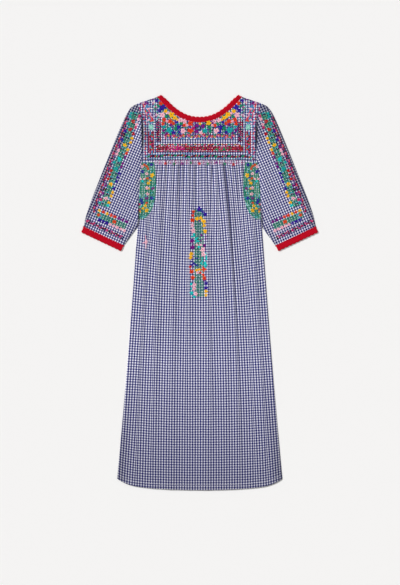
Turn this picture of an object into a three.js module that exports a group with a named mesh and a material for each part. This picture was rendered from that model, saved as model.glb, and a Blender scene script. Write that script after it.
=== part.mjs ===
// A gathered midi dress in check cotton, laid flat on a table with its front up.
// Millimetres. +X is the wearer's left, +Y points to the neck and +Z up out of the table.
// The origin is on the table, under the middle of the dress.
// Every piece is a closed wall: the back lies on the table and the front lies on the back.
import * as THREE from 'three';

// Cloth
const WALL = 1.2; // cloth, as thick as a wall can be made well
const LACE_WALL = 1.3; // crochet edging
const SEAM_GAP = 0.35; // between pieces that are sewn together
const FRONT_FLOOR = WALL + SEAM_GAP; // underside of the front where it lies on the back

// Outline, as half widths from the middle and heights on the Y axis
const HEM_Y = -571.6;
const HEM_CORNER = { x: 239.3, y: -538.3 };
const SIDE_BOW = 2.6; // how far the side seams curve in
const UNDERARM = { x: 180.4, y: 191 };
const SHOULDER_TIP = { x: 183, y: 548 };
const YOKE_SEAM = { x: 167, y: 386 }; // where yoke, skirt and sleeve meet
const NECK_CORNER = { x: 119.5, y: 569.6 }; // outer end of the neck edging on the shoulder
const NECK_BOTTOM_Y = 497.8; // lowest point of the yoke's neckline
const NECK_CURVE = 2.15; // exponent with which the neckline climbs to the shoulders
const CUFF_OUTER = { x: 337, y: 190.3 };
const CUFF_INNER = { x: 221.3, y: 135.4 };

// Crochet edgings
const NECK_EDGING = 13.6; // width
const NECK_EDGING_END = 10; // width on the shoulder
const CUFF_EDGING = 16.4;
const SCALLOP_RISE = 1.9;
const NECK_SCALLOPS = 22; // along the front neckline, and as many along the back
const NECK_EDGING_TAPER = 0.1; // share of the neckline over which it narrows to its ends
const CUFF_SCALLOPS = 11; // on each face of a cuff
const SCALLOP_STEPS = 4;

// Curves of the cut that are neither straight nor a formula
const ARMHOLE_ABOVE_SEAM = [
  SHOULDER_TIP,
  { x: 173.5, y: 534 },
  { x: 168, y: 515 },
  { x: 166, y: 490 },
  { x: 165.3, y: 427.8 },
  YOKE_SEAM,
];
const ARMHOLE_BELOW_SEAM = [YOKE_SEAM, { x: 175.5, y: 297.3 }, { x: 178.4, y: 213.2 }, UNDERARM];
const SLEEVE_FOLD = [
  SHOULDER_TIP,
  { x: 197, y: 540 },
  { x: 210, y: 522.5 },
  { x: 221, y: 500 },
  { x: 233.8, y: 471 },
  { x: 286, y: 341 },
  { x: 327, y: 232 },
  CUFF_OUTER,
];

// How finely each piece is cut into faces
const SKIRT_COLUMNS = 84;
const SKIRT_ROWS_TO_HEM = 11;
const BACK_SKIRT_COLUMNS = 20;
const YOKE_COLUMNS = 36;
const YOKE_NECK_SHARE = 24; // columns of the yoke that end on the neckline
const ARMHOLE_UPPER_STEPS = 9;
const ARMHOLE_LOWER_STEPS = 6;
const SLEEVE_STATIONS = [0, 0.03, 0.08, 0.18, 0.32, 0.46, 0.6, 0.74, 0.88, 1];

// Smocked head of the skirt, and the gathers and folds that run down from it.
// top and hem are where a ridge crosses the yoke seam and the hem, height and width are its size,
// start and end are where it rises and has died out, as shares of the skirt's length, and bow is
// how far it swings sideways half way down.
const SMOCKING = { half_width: 132, depth: 20.5, tuck_height: 1.1 };
const GATHERS = [
  { top: -126, hem: -170, height: 2.6, width: 6, start: 0.02, end: 0.2 },
  { top: -112, hem: -142, height: 3.4, width: 7, start: 0.02, end: 0.3 },
  { top: -97, hem: -132, height: 2.4, width: 6, start: 0.03, end: 0.16 },
  { top: -81, hem: -108, height: 3.8, width: 8, start: 0.02, end: 0.36 },
  { top: -64, hem: -92, height: 3.2, width: 7, start: 0.02, end: 0.22 },
  { top: -50, hem: -66, height: 2.5, width: 6, start: 0.03, end: 0.14 },
  { top: -33, hem: -52, height: 3.0, width: 7, start: 0.02, end: 0.24 },
  { top: -17, hem: -22, height: 3.6, width: 8, start: 0.02, end: 0.2 },
  { top: 0, hem: 2, height: 2.8, width: 7, start: 0.03, end: 0.16 },
  { top: 15, hem: 20, height: 3.4, width: 8, start: 0.02, end: 0.24 },
  { top: 31, hem: 44, height: 2.6, width: 6, start: 0.03, end: 0.18 },
  { top: 46, hem: 68, height: 3.4, width: 7, start: 0.02, end: 0.28 },
  { top: 62, hem: 150, height: 4.4, width: 8, start: 0.01, end: 0.4 },
  { top: 79, hem: 130, height: 3.6, width: 7, start: 0.02, end: 0.2 },
  { top: 92, hem: 136, height: 3.0, width: 7, start: 0.02, end: 0.24 },
  { top: 104, hem: 144, height: 3.4, width: 7, start: 0.03, end: 0.2 },
  { top: 119, hem: 158, height: 2.6, width: 6, start: 0.02, end: 0.2 },
];
const LONG_FOLDS = [
  { top: -148, hem: -196, bow: 0, height: 1.6, width: 15, start: 0.16, end: 1.5 },
  { top: -104, hem: -132, bow: -10, height: 2.6, width: 17, start: 0.1, end: 1.3 },
  { top: -62, hem: -84, bow: -4, height: 2.2, width: 16, start: 0.12, end: 1.6 },
  { top: -26, hem: -30, bow: 0, height: 1.7, width: 17, start: 0.1, end: 1.1 },
  { top: 20, hem: 30, bow: 0, height: 2.0, width: 16, start: 0.08, end: 1.4 },
  { top: 50, hem: 78, bow: 10, height: 2.6, width: 15, start: 0.08, end: 1.2 },
  { top: 62, hem: 116, bow: 14, height: 3.4, width: 14, start: 0.03, end: 1.3 },
  { top: 142, hem: 190, bow: 4, height: 1.8, width: 15, start: 0.14, end: 1.5 },
];
const FOLD_LIMIT = 3.8; // no fold lifts the cloth further than this
const FOLD_SPREAD = 1.7; // how many times wider a fold is at the hem than at its head
const FOLD_HEM_HEIGHT = 0.75; // share of a fold's height that is left at the hem
const FLAT_SIDE_STRIP = 30; // folds die out over this width at the side seams

// Soft ridges of a sleeve's upper face: across runs from the fold to the underarm, along from the
// armhole to the cuff, both as shares.
const SLEEVE_RIDGES = [
  { across: 0.3, along: 0.3, height: 0.9, across_width: 0.1, along_width: 0.3 },
  { across: 0.62, along: 0.2, height: 1.0, across_width: 0.08, along_width: 0.16 },
  { across: 0.86, along: 0.42, height: 0.9, across_width: 0.07, along_width: 0.26 },
];
const SLEEVE_EDGE_HEIGHT = 3.3; // over both its layers, where they are folded or sewn
const SLEEVE_LOFT = 1.9; // how much higher the middle of its upper face lies
const SLEEVE_CROWN = 0.6; // exponent of its roundness from edge to edge
const SLEEVE_CUFF_FLATNESS = 0.75; // share of the loft that is gone at the cuff
const EDGING_HEIGHT = 3.9; // over both layers of crochet
const YOKE_CROWN = 1.3; // how far the front yoke rises in its middle
const YOKE_EDGE_LIFT = 0.25;
const YOKE_SIDE_PULL = 5; // exponent that keeps the armhole's curve near the yoke's sides

const COLOURS = { check: 0x8e90b8, edging: 0xb5071f };
const CLOTH = { roughness: 0.9, metalness: 0 };

const mix = (a, b, t) => a + (b - a) * t;
const mixPoint = (p, q, t) => ({ x: mix(p.x, q.x, t), y: mix(p.y, q.y, t) });
const plus = (p, dx, dy) => ({ x: p.x + dx, y: p.y + dy });
const mirrored = (p) => ({ x: -p.x, y: p.y });
const unit = (p) => ({ x: p.x / Math.hypot(p.x, p.y), y: p.y / Math.hypot(p.x, p.y) });
const rampUp = (t, from, to) => THREE.MathUtils.smoothstep(t, from, to);
const bell = (distance, width) => Math.exp(-((distance / width) ** 2));

function smoothCurve(points) {
  const corners = points.map((p) => new THREE.Vector3(p.x, p.y, 0));
  return new THREE.CatmullRomCurve3(corners, false, 'centripetal');
}

// A smooth curve through plan points, cut into equal steps along its length.
function smoothLine(points, steps) {
  const line = smoothCurve(points);
  return Array.from({ length: steps + 1 }, (_, i) => {
    const p = line.getPointAt(i / steps);
    return { x: p.x, y: p.y };
  });
}

// The armhole seam is one broken line from the shoulder tip to the underarm, which the yoke,
// the skirt and the sleeve all share, so that they never cross.
const armholeUpper = smoothLine(ARMHOLE_ABOVE_SEAM, ARMHOLE_UPPER_STEPS);
const armholeLower = smoothLine(ARMHOLE_BELOW_SEAM, ARMHOLE_LOWER_STEPS);
const armhole = [...armholeUpper, ...armholeLower.slice(1)];
const BODY_SHIFT = { x: -SEAM_GAP, y: 0.25 }; // sets the body back from the sleeve

// Point i of the yoke's neckline, of 0 to YOKE_NECK_SHARE, from the wearer's right to the left.
// Its steps get narrower towards the steep ends, so that they are about as long as in the middle.
function necklinePoint(i) {
  const t = (2 * i) / YOKE_NECK_SHARE - 1;
  const across = t * (1.2 - 0.2 * t * t);
  return {
    x: NECK_CORNER.x * across,
    y: mix(NECK_BOTTOM_Y, NECK_CORNER.y, Math.abs(across) ** NECK_CURVE),
  };
}

// The hem hangs lower in the middle and turns up quickly at its corners.
function hemY(x) {
  const share = Math.abs(x) / HEM_CORNER.x;
  return HEM_Y + (HEM_CORNER.y - HEM_Y) * (0.42 * share ** 2 + 0.58 * share ** 8);
}

// A closed wall over a grid of plan points: under and over give its two faces' heights.
function wallOverGrid(grid, under, over) {
  const rows = grid.length;
  const columns = grid[0].length;
  const positions = [];
  const index = [];
  for (const height of [over, under]) {
    grid.forEach((row, j) => row.forEach((p, i) => positions.push(p.x, p.y, height(p, i, j))));
  }
  const at = (face, j, i) => face * rows * columns + j * columns + i;
  const quad = (a, b, c, d) => index.push(a, b, c, a, c, d);
  for (let j = 0; j + 1 < rows; j++) {
    for (let i = 0; i + 1 < columns; i++) {
      quad(at(0, j, i), at(0, j + 1, i), at(0, j + 1, i + 1), at(0, j, i + 1));
      quad(at(1, j, i), at(1, j, i + 1), at(1, j + 1, i + 1), at(1, j + 1, i));
    }
    quad(at(0, j, 0), at(1, j, 0), at(1, j + 1, 0), at(0, j + 1, 0));
    const last = columns - 1;
    quad(at(0, j + 1, last), at(1, j + 1, last), at(1, j, last), at(0, j, last));
  }
  for (let i = 0; i + 1 < columns; i++) {
    quad(at(0, 0, i + 1), at(1, 0, i + 1), at(1, 0, i), at(0, 0, i));
    const last = rows - 1;
    quad(at(0, last, i), at(1, last, i), at(1, last, i + 1), at(0, last, i + 1));
  }
  return closedGeometry(positions, index);
}

// A flattened tube: plan(j, i) gives point i across at station j, over its upper face's height.
// The first and last points across are its two folded edges, and both its ends are open.
function flatTube(stations, points, plan, over, wall) {
  const inner = points - 2;
  const ring = 2 * points - 2;
  const positions = [];
  const index = [];
  for (let j = 0; j < stations; j++) {
    for (const inset of [0, wall]) {
      for (let k = 0; k < ring; k++) {
        const i = k <= inner + 1 ? k : ring - k;
        const isEdge = i === 0 || i === inner + 1;
        const isTop = k <= inner + 1;
        const p = isEdge ? insetEdge(plan, j, i, points, inset) : plan(j, i);
        const top = over(j, i);
        const height = isEdge ? top / 2 : isTop ? top - inset : inset;
        positions.push(p.x, p.y, height);
      }
    }
  }
  const at = (j, layer, k) => (j * 2 + layer) * ring + (k % ring);
  const quad = (a, b, c, d) => index.push(a, b, c, a, c, d);
  for (let k = 0; k < ring; k++) {
    for (let j = 0; j + 1 < stations; j++) {
      quad(at(j, 0, k), at(j + 1, 0, k), at(j + 1, 0, k + 1), at(j, 0, k + 1));
      quad(at(j, 1, k), at(j, 1, k + 1), at(j + 1, 1, k + 1), at(j + 1, 1, k));
    }
    quad(at(0, 0, k), at(0, 0, k + 1), at(0, 1, k + 1), at(0, 1, k));
    const last = stations - 1;
    quad(at(last, 0, k), at(last, 1, k), at(last, 1, k + 1), at(last, 0, k + 1));
  }
  return closedGeometry(positions, index);
}

// The edge point of a flattened tube, moved in towards its neighbour by the wall.
function insetEdge(plan, j, i, points, inset) {
  const edge = plan(j, i);
  if (inset === 0) return edge;
  const next = plan(j, i === 0 ? 1 : points - 2);
  const length = Math.hypot(next.x - edge.x, next.y - edge.y);
  return mixPoint(edge, next, Math.min(inset / length, 0.8));
}

// Turns the faces out if they were wound the other way, as on a mirrored piece.
function closedGeometry(positions, index) {
  let volume = 0;
  const corner = (k) => new THREE.Vector3().fromArray(positions, 3 * k);
  for (let k = 0; k < index.length; k += 3) {
    volume += corner(index[k]).dot(corner(index[k + 1]).cross(corner(index[k + 2])));
  }
  if (volume < 0) {
    for (let k = 0; k < index.length; k += 3) [index[k], index[k + 1]] = [index[k + 1], index[k]];
  }
  const geometry = new THREE.BufferGeometry();
  geometry.setAttribute('position', new THREE.Float32BufferAttribute(positions, 3));
  geometry.setIndex(index);
  geometry.computeVertexNormals();
  return geometry;
}

// Height of the gathers and folds at a plan point of the skirt.
function foldHeight(p, skirtShare) {
  const ridge = (fold) => {
    const swing = 4 * (fold.bow ?? 0) * skirtShare * (1 - skirtShare);
    const middle = mix(fold.top, fold.hem, skirtShare) + swing;
    const width = fold.width * mix(1, FOLD_SPREAD, skirtShare);
    const fade = rampUp(skirtShare, 0, fold.start) * (1 - rampUp(skirtShare, fold.start, fold.end));
    return fold.height * fade * bell(p.x - middle, width);
  };
  const sum = [...GATHERS, ...LONG_FOLDS].reduce((total, fold) => total + ridge(fold), 0);
  const side = skirtHalfWidth(p.y) - Math.abs(p.x);
  const lift = sum * rampUp(side, 0, FLAT_SIDE_STRIP) * mix(1, FOLD_HEM_HEIGHT, skirtShare);
  return FOLD_LIMIT * Math.tanh(lift / FOLD_LIMIT);
}

// Half the skirt's width at a share of the way from the underarm to the hem's corner.
function sideSeamX(down) {
  return mix(UNDERARM.x + BODY_SHIFT.x, HEM_CORNER.x, down) - SIDE_BOW * Math.sin(Math.PI * Math.min(down, 1));
}

// Half the skirt's width at a height: the armhole seam above the underarm, the side seam below.
function skirtHalfWidth(y) {
  if (y < UNDERARM.y) return sideSeamX((UNDERARM.y - y) / (UNDERARM.y - HEM_CORNER.y));
  const below = armholeLower.findIndex((p) => p.y <= y);
  if (below <= 0) return armholeLower[0].x;
  const [a, b] = [armholeLower[below - 1], armholeLower[below]];
  return mix(a.x, b.x, (a.y - y) / (a.y - b.y));
}

// Plan points of a skirt panel: rows follow the armhole seam's points, then bend to the hem.
function skirtGrid(columns) {
  const rows = armholeLower.map((p) => (share) => ({
    x: share * (p.x + BODY_SHIFT.x),
    y: p.y === YOKE_SEAM.y ? YOKE_SEAM.y - SEAM_GAP : p.y + BODY_SHIFT.y,
  }));
  for (let j = 1; j <= SKIRT_ROWS_TO_HEM; j++) {
    const down = j / SKIRT_ROWS_TO_HEM;
    const halfWidth = sideSeamX(down);
    rows.push((share) => {
      const straight = mix(UNDERARM.y + BODY_SHIFT.y, HEM_CORNER.y, down);
      const sag = (hemY(share * HEM_CORNER.x) - HEM_CORNER.y) * down;
      return { x: share * halfWidth, y: straight + sag };
    });
  }
  return rows.map((row) => Array.from({ length: columns + 1 }, (_, i) => row((2 * i) / columns - 1)));
}

function skirtShareAt(y) {
  return (YOKE_SEAM.y - y) / (YOKE_SEAM.y - HEM_Y);
}

// The front skirt: smocked tucks at its head, gathers below them, long folds to the hem.
function frontSkirt() {
  const under = (p, i) => {
    const share = skirtShareAt(p.y);
    const inSmocking = p.y > YOKE_SEAM.y - SMOCKING.depth - 1 && Math.abs(p.x) < SMOCKING.half_width;
    const tuck = inSmocking && i % 2 === 1 ? SMOCKING.tuck_height : 0;
    return FRONT_FLOOR + tuck + foldHeight(p, share);
  };
  const over = (p, i) => under(p, i) + WALL;
  const grid = skirtGrid(SKIRT_COLUMNS);
  // One more row ends the smocked band above the first gathers.
  const rowDepth = armholeLower[0].y - armholeLower[1].y;
  const smocked = grid[0].map((p, i) => mixPoint(p, grid[1][i], SMOCKING.depth / rowDepth));
  grid.splice(1, 0, smocked);
  return wallOverGrid(grid, under, over);
}

// The back skirt lies on the table, so it is plain and flat.
function backSkirt() {
  return wallOverGrid(skirtGrid(BACK_SKIRT_COLUMNS), () => 0, () => WALL);
}

// Plan points of a yoke: its bottom edge is straight, its top edge is both shoulders and the neckline.
function yokeGrid() {
  const shoulderColumns = (YOKE_COLUMNS - YOKE_NECK_SHARE) / 2;
  const tip = plus(SHOULDER_TIP, BODY_SHIFT.x, BODY_SHIFT.y);
  const topPoint = (i) => {
    if (i < shoulderColumns) return mixPoint(mirrored(tip), necklinePoint(0), i / shoulderColumns);
    if (i > YOKE_COLUMNS - shoulderColumns) return mirrored(topPoint(YOKE_COLUMNS - i));
    return necklinePoint(i - shoulderColumns);
  };
  const bottomPoint = (i) => ({
    x: ((2 * i) / YOKE_COLUMNS - 1) * (YOKE_SEAM.x + BODY_SHIFT.x),
    y: YOKE_SEAM.y,
  });
  return armholeUpper.map((sideAt, j) => {
    const down = j / ARMHOLE_UPPER_STEPS;
    const side = j === ARMHOLE_UPPER_STEPS ? bottomPoint(YOKE_COLUMNS) : plus(sideAt, BODY_SHIFT.x, BODY_SHIFT.y);
    const straight = mixPoint(tip, bottomPoint(YOKE_COLUMNS), down);
    return Array.from({ length: YOKE_COLUMNS + 1 }, (_, i) => {
      const share = (2 * i) / YOKE_COLUMNS - 1;
      const pull = Math.abs(share) ** YOKE_SIDE_PULL;
      const p = mixPoint(topPoint(i), bottomPoint(i), down);
      return plus(p, Math.sign(share) * pull * (side.x - straight.x), pull * (side.y - straight.y));
    });
  });
}

// The front yoke is stiff with stitching: it rises a little in the middle and lies down at its edges.
function frontYoke() {
  const under = (p, i, j) => {
    const across = Math.sqrt(Math.sin((Math.PI * i) / YOKE_COLUMNS));
    const along = Math.sqrt(Math.sin((Math.PI * j) / ARMHOLE_UPPER_STEPS));
    return FRONT_FLOOR + across * (YOKE_CROWN * along + YOKE_EDGE_LIFT);
  };
  return wallOverGrid(yokeGrid(), under, (p, i, j) => under(p, i, j) + WALL);
}

function backYoke() {
  return wallOverGrid(yokeGrid(), () => 0, () => WALL);
}

// Plan of a sleeve: a patch between the armhole seam, the cuff, the folded edge and the underarm.
function sleevePlan() {
  const foldEdge = smoothCurve(SLEEVE_FOLD);
  const points = armhole.length;
  return (j, i) => {
    const s = SLEEVE_STATIONS[j];
    const t = i / (points - 1);
    const fold = foldEdge.getPointAt(s);
    const underarm = mixPoint(UNDERARM, CUFF_INNER, s);
    const seam = armhole[i];
    const cuff = mixPoint(CUFF_OUTER, CUFF_INNER, t);
    const patch = (axis) => mix(seam[axis], cuff[axis], s) + mix(fold[axis], underarm[axis], t)
      - mix(mix(SHOULDER_TIP[axis], UNDERARM[axis], t), mix(CUFF_OUTER[axis], CUFF_INNER[axis], t), s);
    return { x: patch('x'), y: patch('y') };
  };
}

function sleeveHeight(j, i) {
  const s = SLEEVE_STATIONS[j];
  const t = i / (armhole.length - 1);
  const away = rampUp(s, 0, 0.1) * (1 - SLEEVE_CUFF_FLATNESS * rampUp(s, 0.86, 1));
  const crown = Math.sin(Math.PI * t) ** SLEEVE_CROWN;
  const ridges = SLEEVE_RIDGES.reduce((sum, r) => sum
    + r.height * bell(t - r.across, r.across_width) * bell(s - r.along, r.along_width), 0);
  return SLEEVE_EDGE_HEIGHT + crown * away * (SLEEVE_LOFT + ridges);
}

function sleeve(side) {
  const plan = sleevePlan();
  const sided = (j, i) => (side > 0 ? plan(j, i) : mirrored(plan(j, i)));
  return flatTube(SLEEVE_STATIONS.length, armhole.length, sided, sleeveHeight, WALL);
}

// How far a scalloped edge stands out at a share of its length.
function scallop(share, count) {
  return SCALLOP_RISE * Math.abs(Math.sin(Math.PI * count * share));
}

// The crochet edging of a cuff: a short flattened tube below the sleeve's end.
function cuffEdging(side) {
  const points = CUFF_SCALLOPS * SCALLOP_STEPS + 1;
  const along = { x: CUFF_OUTER.x - CUFF_INNER.x, y: CUFF_OUTER.y - CUFF_INNER.y };
  const length = Math.hypot(along.x, along.y);
  const out = { x: along.y / length, y: -along.x / length };
  const plan = (j, i) => {
    const t = i / (points - 1);
    const depth = j === 0 ? SEAM_GAP : CUFF_EDGING - SCALLOP_RISE + scallop(t, CUFF_SCALLOPS);
    const p = plus(mixPoint(CUFF_OUTER, CUFF_INNER, t), out.x * depth, out.y * depth);
    return side > 0 ? p : mirrored(p);
  };
  return flatTube(2, points, plan, () => EDGING_HEIGHT, LACE_WALL);
}

// The crochet edging of the neck: its front strip lies on its back strip, joined at the shoulders.
function neckEdging() {
  const perColumn = Math.round((NECK_SCALLOPS * SCALLOP_STEPS) / YOKE_NECK_SHARE);
  const points = YOKE_NECK_SHARE * perColumn + 1;
  const neckline = Array.from({ length: points }, (_, i) => {
    const column = Math.min(Math.floor(i / perColumn), YOKE_NECK_SHARE - 1);
    return mixPoint(necklinePoint(column), necklinePoint(column + 1), i / perColumn - column);
  });
  const inward = neckline.map((_, i) => {
    const a = neckline[Math.max(i - perColumn, 0)];
    const b = neckline[Math.min(i + perColumn, points - 1)];
    return unit({ x: a.y - b.y, y: b.x - a.x });
  });
  const plan = (j, i) => {
    const share = i / (points - 1);
    const full = rampUp(Math.min(share, 1 - share), 0, NECK_EDGING_TAPER);
    const width = mix(NECK_EDGING_END, NECK_EDGING, full);
    const depth = j === 0 ? SEAM_GAP : width - SCALLOP_RISE + scallop(share, NECK_SCALLOPS);
    return plus(neckline[i], inward[i].x * depth, inward[i].y * depth);
  };
  return flatTube(2, points, plan, () => EDGING_HEIGHT, LACE_WALL);
}

const checkCotton = new THREE.MeshStandardMaterial({ color: COLOURS.check, ...CLOTH });
const redCrochet = new THREE.MeshStandardMaterial({ color: COLOURS.edging, ...CLOTH });

function piece(name, geometry, material) {
  const mesh = new THREE.Mesh(geometry, material);
  mesh.name = name;
  return mesh;
}

const dress = new THREE.Group();
dress.add(
  piece('back_skirt', backSkirt(), checkCotton),
  piece('back_yoke', backYoke(), checkCotton),
  piece('front_skirt', frontSkirt(), checkCotton),
  piece('front_yoke', frontYoke(), checkCotton),
  piece('neck_edging', neckEdging(), redCrochet),
);
for (const [hand, side] of [['left', 1], ['right', -1]]) {
  dress.add(piece(`sleeve_${hand}`, sleeve(side), checkCotton));
  dress.add(piece(`cuff_edging_${hand}`, cuffEdging(side), redCrochet));
}

export default dress;
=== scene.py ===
import math
from collections import namedtuple

import bpy
import numpy as np
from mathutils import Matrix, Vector
from mathutils.bvhtree import BVHTree


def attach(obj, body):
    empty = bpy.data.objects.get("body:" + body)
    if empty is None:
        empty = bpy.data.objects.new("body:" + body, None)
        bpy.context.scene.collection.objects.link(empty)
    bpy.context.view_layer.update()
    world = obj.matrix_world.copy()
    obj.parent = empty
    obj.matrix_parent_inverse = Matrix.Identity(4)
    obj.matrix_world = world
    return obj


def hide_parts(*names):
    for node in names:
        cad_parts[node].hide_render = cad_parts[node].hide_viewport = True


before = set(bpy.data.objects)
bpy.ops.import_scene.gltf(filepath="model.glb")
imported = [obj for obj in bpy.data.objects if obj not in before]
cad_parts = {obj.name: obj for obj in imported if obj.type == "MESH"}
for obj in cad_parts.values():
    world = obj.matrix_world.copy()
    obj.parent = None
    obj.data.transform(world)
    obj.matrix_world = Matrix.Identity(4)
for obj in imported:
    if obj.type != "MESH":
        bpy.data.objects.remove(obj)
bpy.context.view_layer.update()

MM = 0.001

# Sizes of the garment, as half widths from the middle and heights on the Y axis
WALL = 1.2
SEAM_GAP = 0.35
FRONT_FLOOR = WALL + SEAM_GAP
HEM_Y = -571.6
HEM_CORNER = np.array([239.3, -538.3])
SIDE_BOW = 2.6
UNDERARM = np.array([180.4, 191.0])
SHOULDER_TIP = np.array([183.0, 548.0])
YOKE_SEAM = np.array([167.0, 386.0])
NECK_CORNER = np.array([119.5, 569.6])
NECK_BOTTOM_Y = 497.8
NECK_CURVE = 2.15
NECK_SHARE = 2 / 3  # of the yoke's columns end on the neckline
CUFF_OUTER = np.array([337.0, 190.3])
CUFF_INNER = np.array([221.3, 135.4])
NECK_EDGING = 13.6
NECK_EDGING_END = 10
NECK_EDGING_TAPER = 0.1
CUFF_EDGING = 16.4
NECK_SCALLOPS = 22
CUFF_SCALLOPS = 11
SCALLOP_RISE = 1.9
EDGING_HEIGHT = 3.9
EDGING_WALL = 0.9
EDGING_STITCH = 3.1
EDGING_ROWS = 3
SCALLOP_STEPS = 12
HEM_TURN = 14.5
ARMHOLE_ABOVE_SEAM = [SHOULDER_TIP, (173.5, 534), (168, 515), (166, 490), (165.3, 427.8), YOKE_SEAM]
ARMHOLE_BELOW_SEAM = [YOKE_SEAM, (175.5, 297.3), (178.4, 213.2), UNDERARM]
SLEEVE_FOLD = [
    SHOULDER_TIP, (197, 540), (210, 522.5), (221, 500), (233.8, 471), (286, 341), (327, 232), CUFF_OUTER,
]
BODY_SHIFT = np.array([-SEAM_GAP, 0.25])  # of the body's armhole edge, away from the sleeve's

# Cloth
CLOTH_THICKNESS = 0.6
CHECK_REPEAT = 7.25
THREADS_A_REPEAT = 12
SLEEVE_GRAIN = math.radians(23.5)

# Folds of the front skirt. top and hem are where a ridge crosses the yoke seam and the hem, bow is how far
# it swings out half way, start and end are where it rises and has died out, as shares of the length.
Fold = namedtuple("Fold", "top hem bow height width start end")
GATHERS = [
    Fold(-126, -170, 0, 4.2, 6, 0.02, 0.20),
    Fold(-112, -142, 0, 5.5, 7, 0.02, 0.30),
    Fold(-97, -132, 0, 3.8, 6, 0.03, 0.16),
    Fold(-81, -108, 0, 6.1, 8, 0.02, 0.36),
    Fold(-64, -92, 0, 5.2, 7, 0.02, 0.22),
    Fold(-50, -66, 0, 4.1, 6, 0.03, 0.14),
    Fold(-33, -52, 0, 4.9, 7, 0.02, 0.24),
    Fold(-17, -22, 0, 5.9, 8, 0.02, 0.20),
    Fold(0, 2, 0, 4.6, 7, 0.03, 0.16),
    Fold(15, 20, 0, 5.5, 8, 0.02, 0.24),
    Fold(31, 44, 0, 4.2, 6, 0.03, 0.18),
    Fold(46, 68, 0, 5.5, 7, 0.02, 0.28),
    Fold(62, 150, 0, 7.1, 8, 0.01, 0.40),
    Fold(79, 130, 0, 5.9, 7, 0.02, 0.20),
    Fold(92, 136, 0, 4.9, 7, 0.02, 0.24),
    Fold(104, 144, 0, 5.5, 7, 0.03, 0.20),
    Fold(119, 158, 0, 4.2, 6, 0.02, 0.20),
]
LONG_FOLDS = [
    Fold(-148, -196, 0, 2.6, 15, 0.16, 1.5),
    Fold(-104, -132, -10, 4.2, 17, 0.10, 1.3),
    Fold(-62, -84, -4, 3.5, 16, 0.12, 1.6),
    Fold(-26, -30, 0, 2.7, 17, 0.10, 1.1),
    Fold(20, 30, 0, 3.2, 16, 0.08, 1.4),
    Fold(50, 78, 10, 4.2, 15, 0.08, 1.2),
    Fold(62, 116, 14, 5.4, 14, 0.03, 1.3),
    Fold(142, 190, 4, 2.9, 15, 0.14, 1.5),
]
SIDE_TUCKS = [-160, -143, 143, 160]  # tops of tucks too small to stand up
GATHER_TOPS = np.array(sorted([fold.top for fold in GATHERS] + SIDE_TUCKS + [-YOKE_SEAM[0], YOKE_SEAM[0]]))
FLOW_TOPS = np.array([-YOKE_SEAM[0], -134, -104, -66, -30, 22, 66, 104, 136, YOKE_SEAM[0]])
FOLD_LIMIT = 7.0
CREASE_LIMIT = 10
GROOVE_LIMIT = 1.5
STEEP_SIDE = 0.42  # of a fold's width, on the side away from the window

# How the checks spread from the yoke seam to the hem: threads that start at top reach the hem at hem
ThreadRun = namedtuple("ThreadRun", "top hem bow")
THREAD_RUNS = [
    ThreadRun(-167, -239.3, 0),
    ThreadRun(-104, -140, -9),
    ThreadRun(-62, -84, -4),
    ThreadRun(0, 0, 0),
    ThreadRun(46, 68, 8),
    ThreadRun(62, 112, 14),
    ThreadRun(79, 132, 14),
    ThreadRun(119, 178, 8),
    ThreadRun(167, 239.3, 0),
]
SKIRT_SPREAD = (1.055, 1.015)  # the check's repeat across and down the skirt, against that of the yoke
FOLD_SPREAD = 1.7
FOLD_HEM_HEIGHT = 0.75
FLAT_SIDE_STRIP = 30
CREASE_COLUMN = 0.48  # of the way from the middle to the side, where a column follows the main crease
SMOCKING_HALF_WIDTH = 132
SMOCKING_DEPTH = 20.5
SMOCKING_SOFT_SIDE = 6
SMOCKING_SOFT_END = 4.5
TUCK_PITCH = 7.95
TUCK_HEIGHT = 1.1
UNEVEN_LIFT = 0.35  # of the flat cloth between the folds
SEAM_DIP = 0.7
SEAM_DIP_REACH = 2.2
HEM_LAYER = 0.35
HEM_STITCH_DIP = 0.25
SIDE_ROLL = 1.5
SIDE_ROLL_REACH = 4.5
YOKE_CROWN = 1.2
YOKE_CROWN_REACH = 60
YOKE_SIDE_DIP = 0.8
YOKE_SEAM_DIP = 0.6

# Creases, where a ridge drops sharply on its right into a slot with a lower lip beyond it
MAIN_CREASE = Fold(66, 121, 14, 6.4, 10, 0.03, 0.62)
CREASES = [
    MAIN_CREASE,
    Fold(96, 132, 0, 3.8, 6, 0.004, 0.09),
    Fold(33, 60, 0, 3.6, 6, 0.004, 0.09),
    Fold(50, 82, 0, 2.2, 6, 0.01, 0.18),
    Fold(8, 16, 0, 1.6, 5, 0.01, 0.12),
    Fold(-27, -36, 0, 2.4, 6, 0.01, 0.16),
    Fold(-59, -84, 0, 2.6, 6, 0.01, 0.16),
    Fold(-74, -100, 0, 3.0, 6, 0.01, 0.22),
    Fold(-99, -132, 0, 4.0, 6, 0.004, 0.09),
    Fold(-120, -160, 0, 1.6, 5, 0.01, 0.12),
    Fold(112, 152, 0, 1.6, 5, 0.01, 0.11),
]
CREASE_SLOT = 4.2
CREASE_GROOVE = 1.5
CREASE_DROP = 1.1  # the width of a ridge's steep side
CREASE_LIP = 0.6  # the lip's height and width, against the ridge's
CREASE_LIP_BEYOND = 2.4
CREASE_LIP_DROP = 1.4
MAIN_SLOT_AT = 5
MAIN_SLOT_REACH = 6

# Sleeves
SleeveRidge = namedtuple("SleeveRidge", "across along height across_width along_width")
SLEEVE_RIDGES = [
    SleeveRidge(0.30, 0.30, 0.9, 0.10, 0.30),
    SleeveRidge(0.62, 0.20, 1.0, 0.08, 0.16),
    SleeveRidge(0.86, 0.42, 0.9, 0.07, 0.26),
    SleeveRidge(0.24, 0.042, 2.6, 0.14, 0.026),
    SleeveRidge(0.75, 0.10, 0.8, 0.10, 0.05),
]
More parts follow.
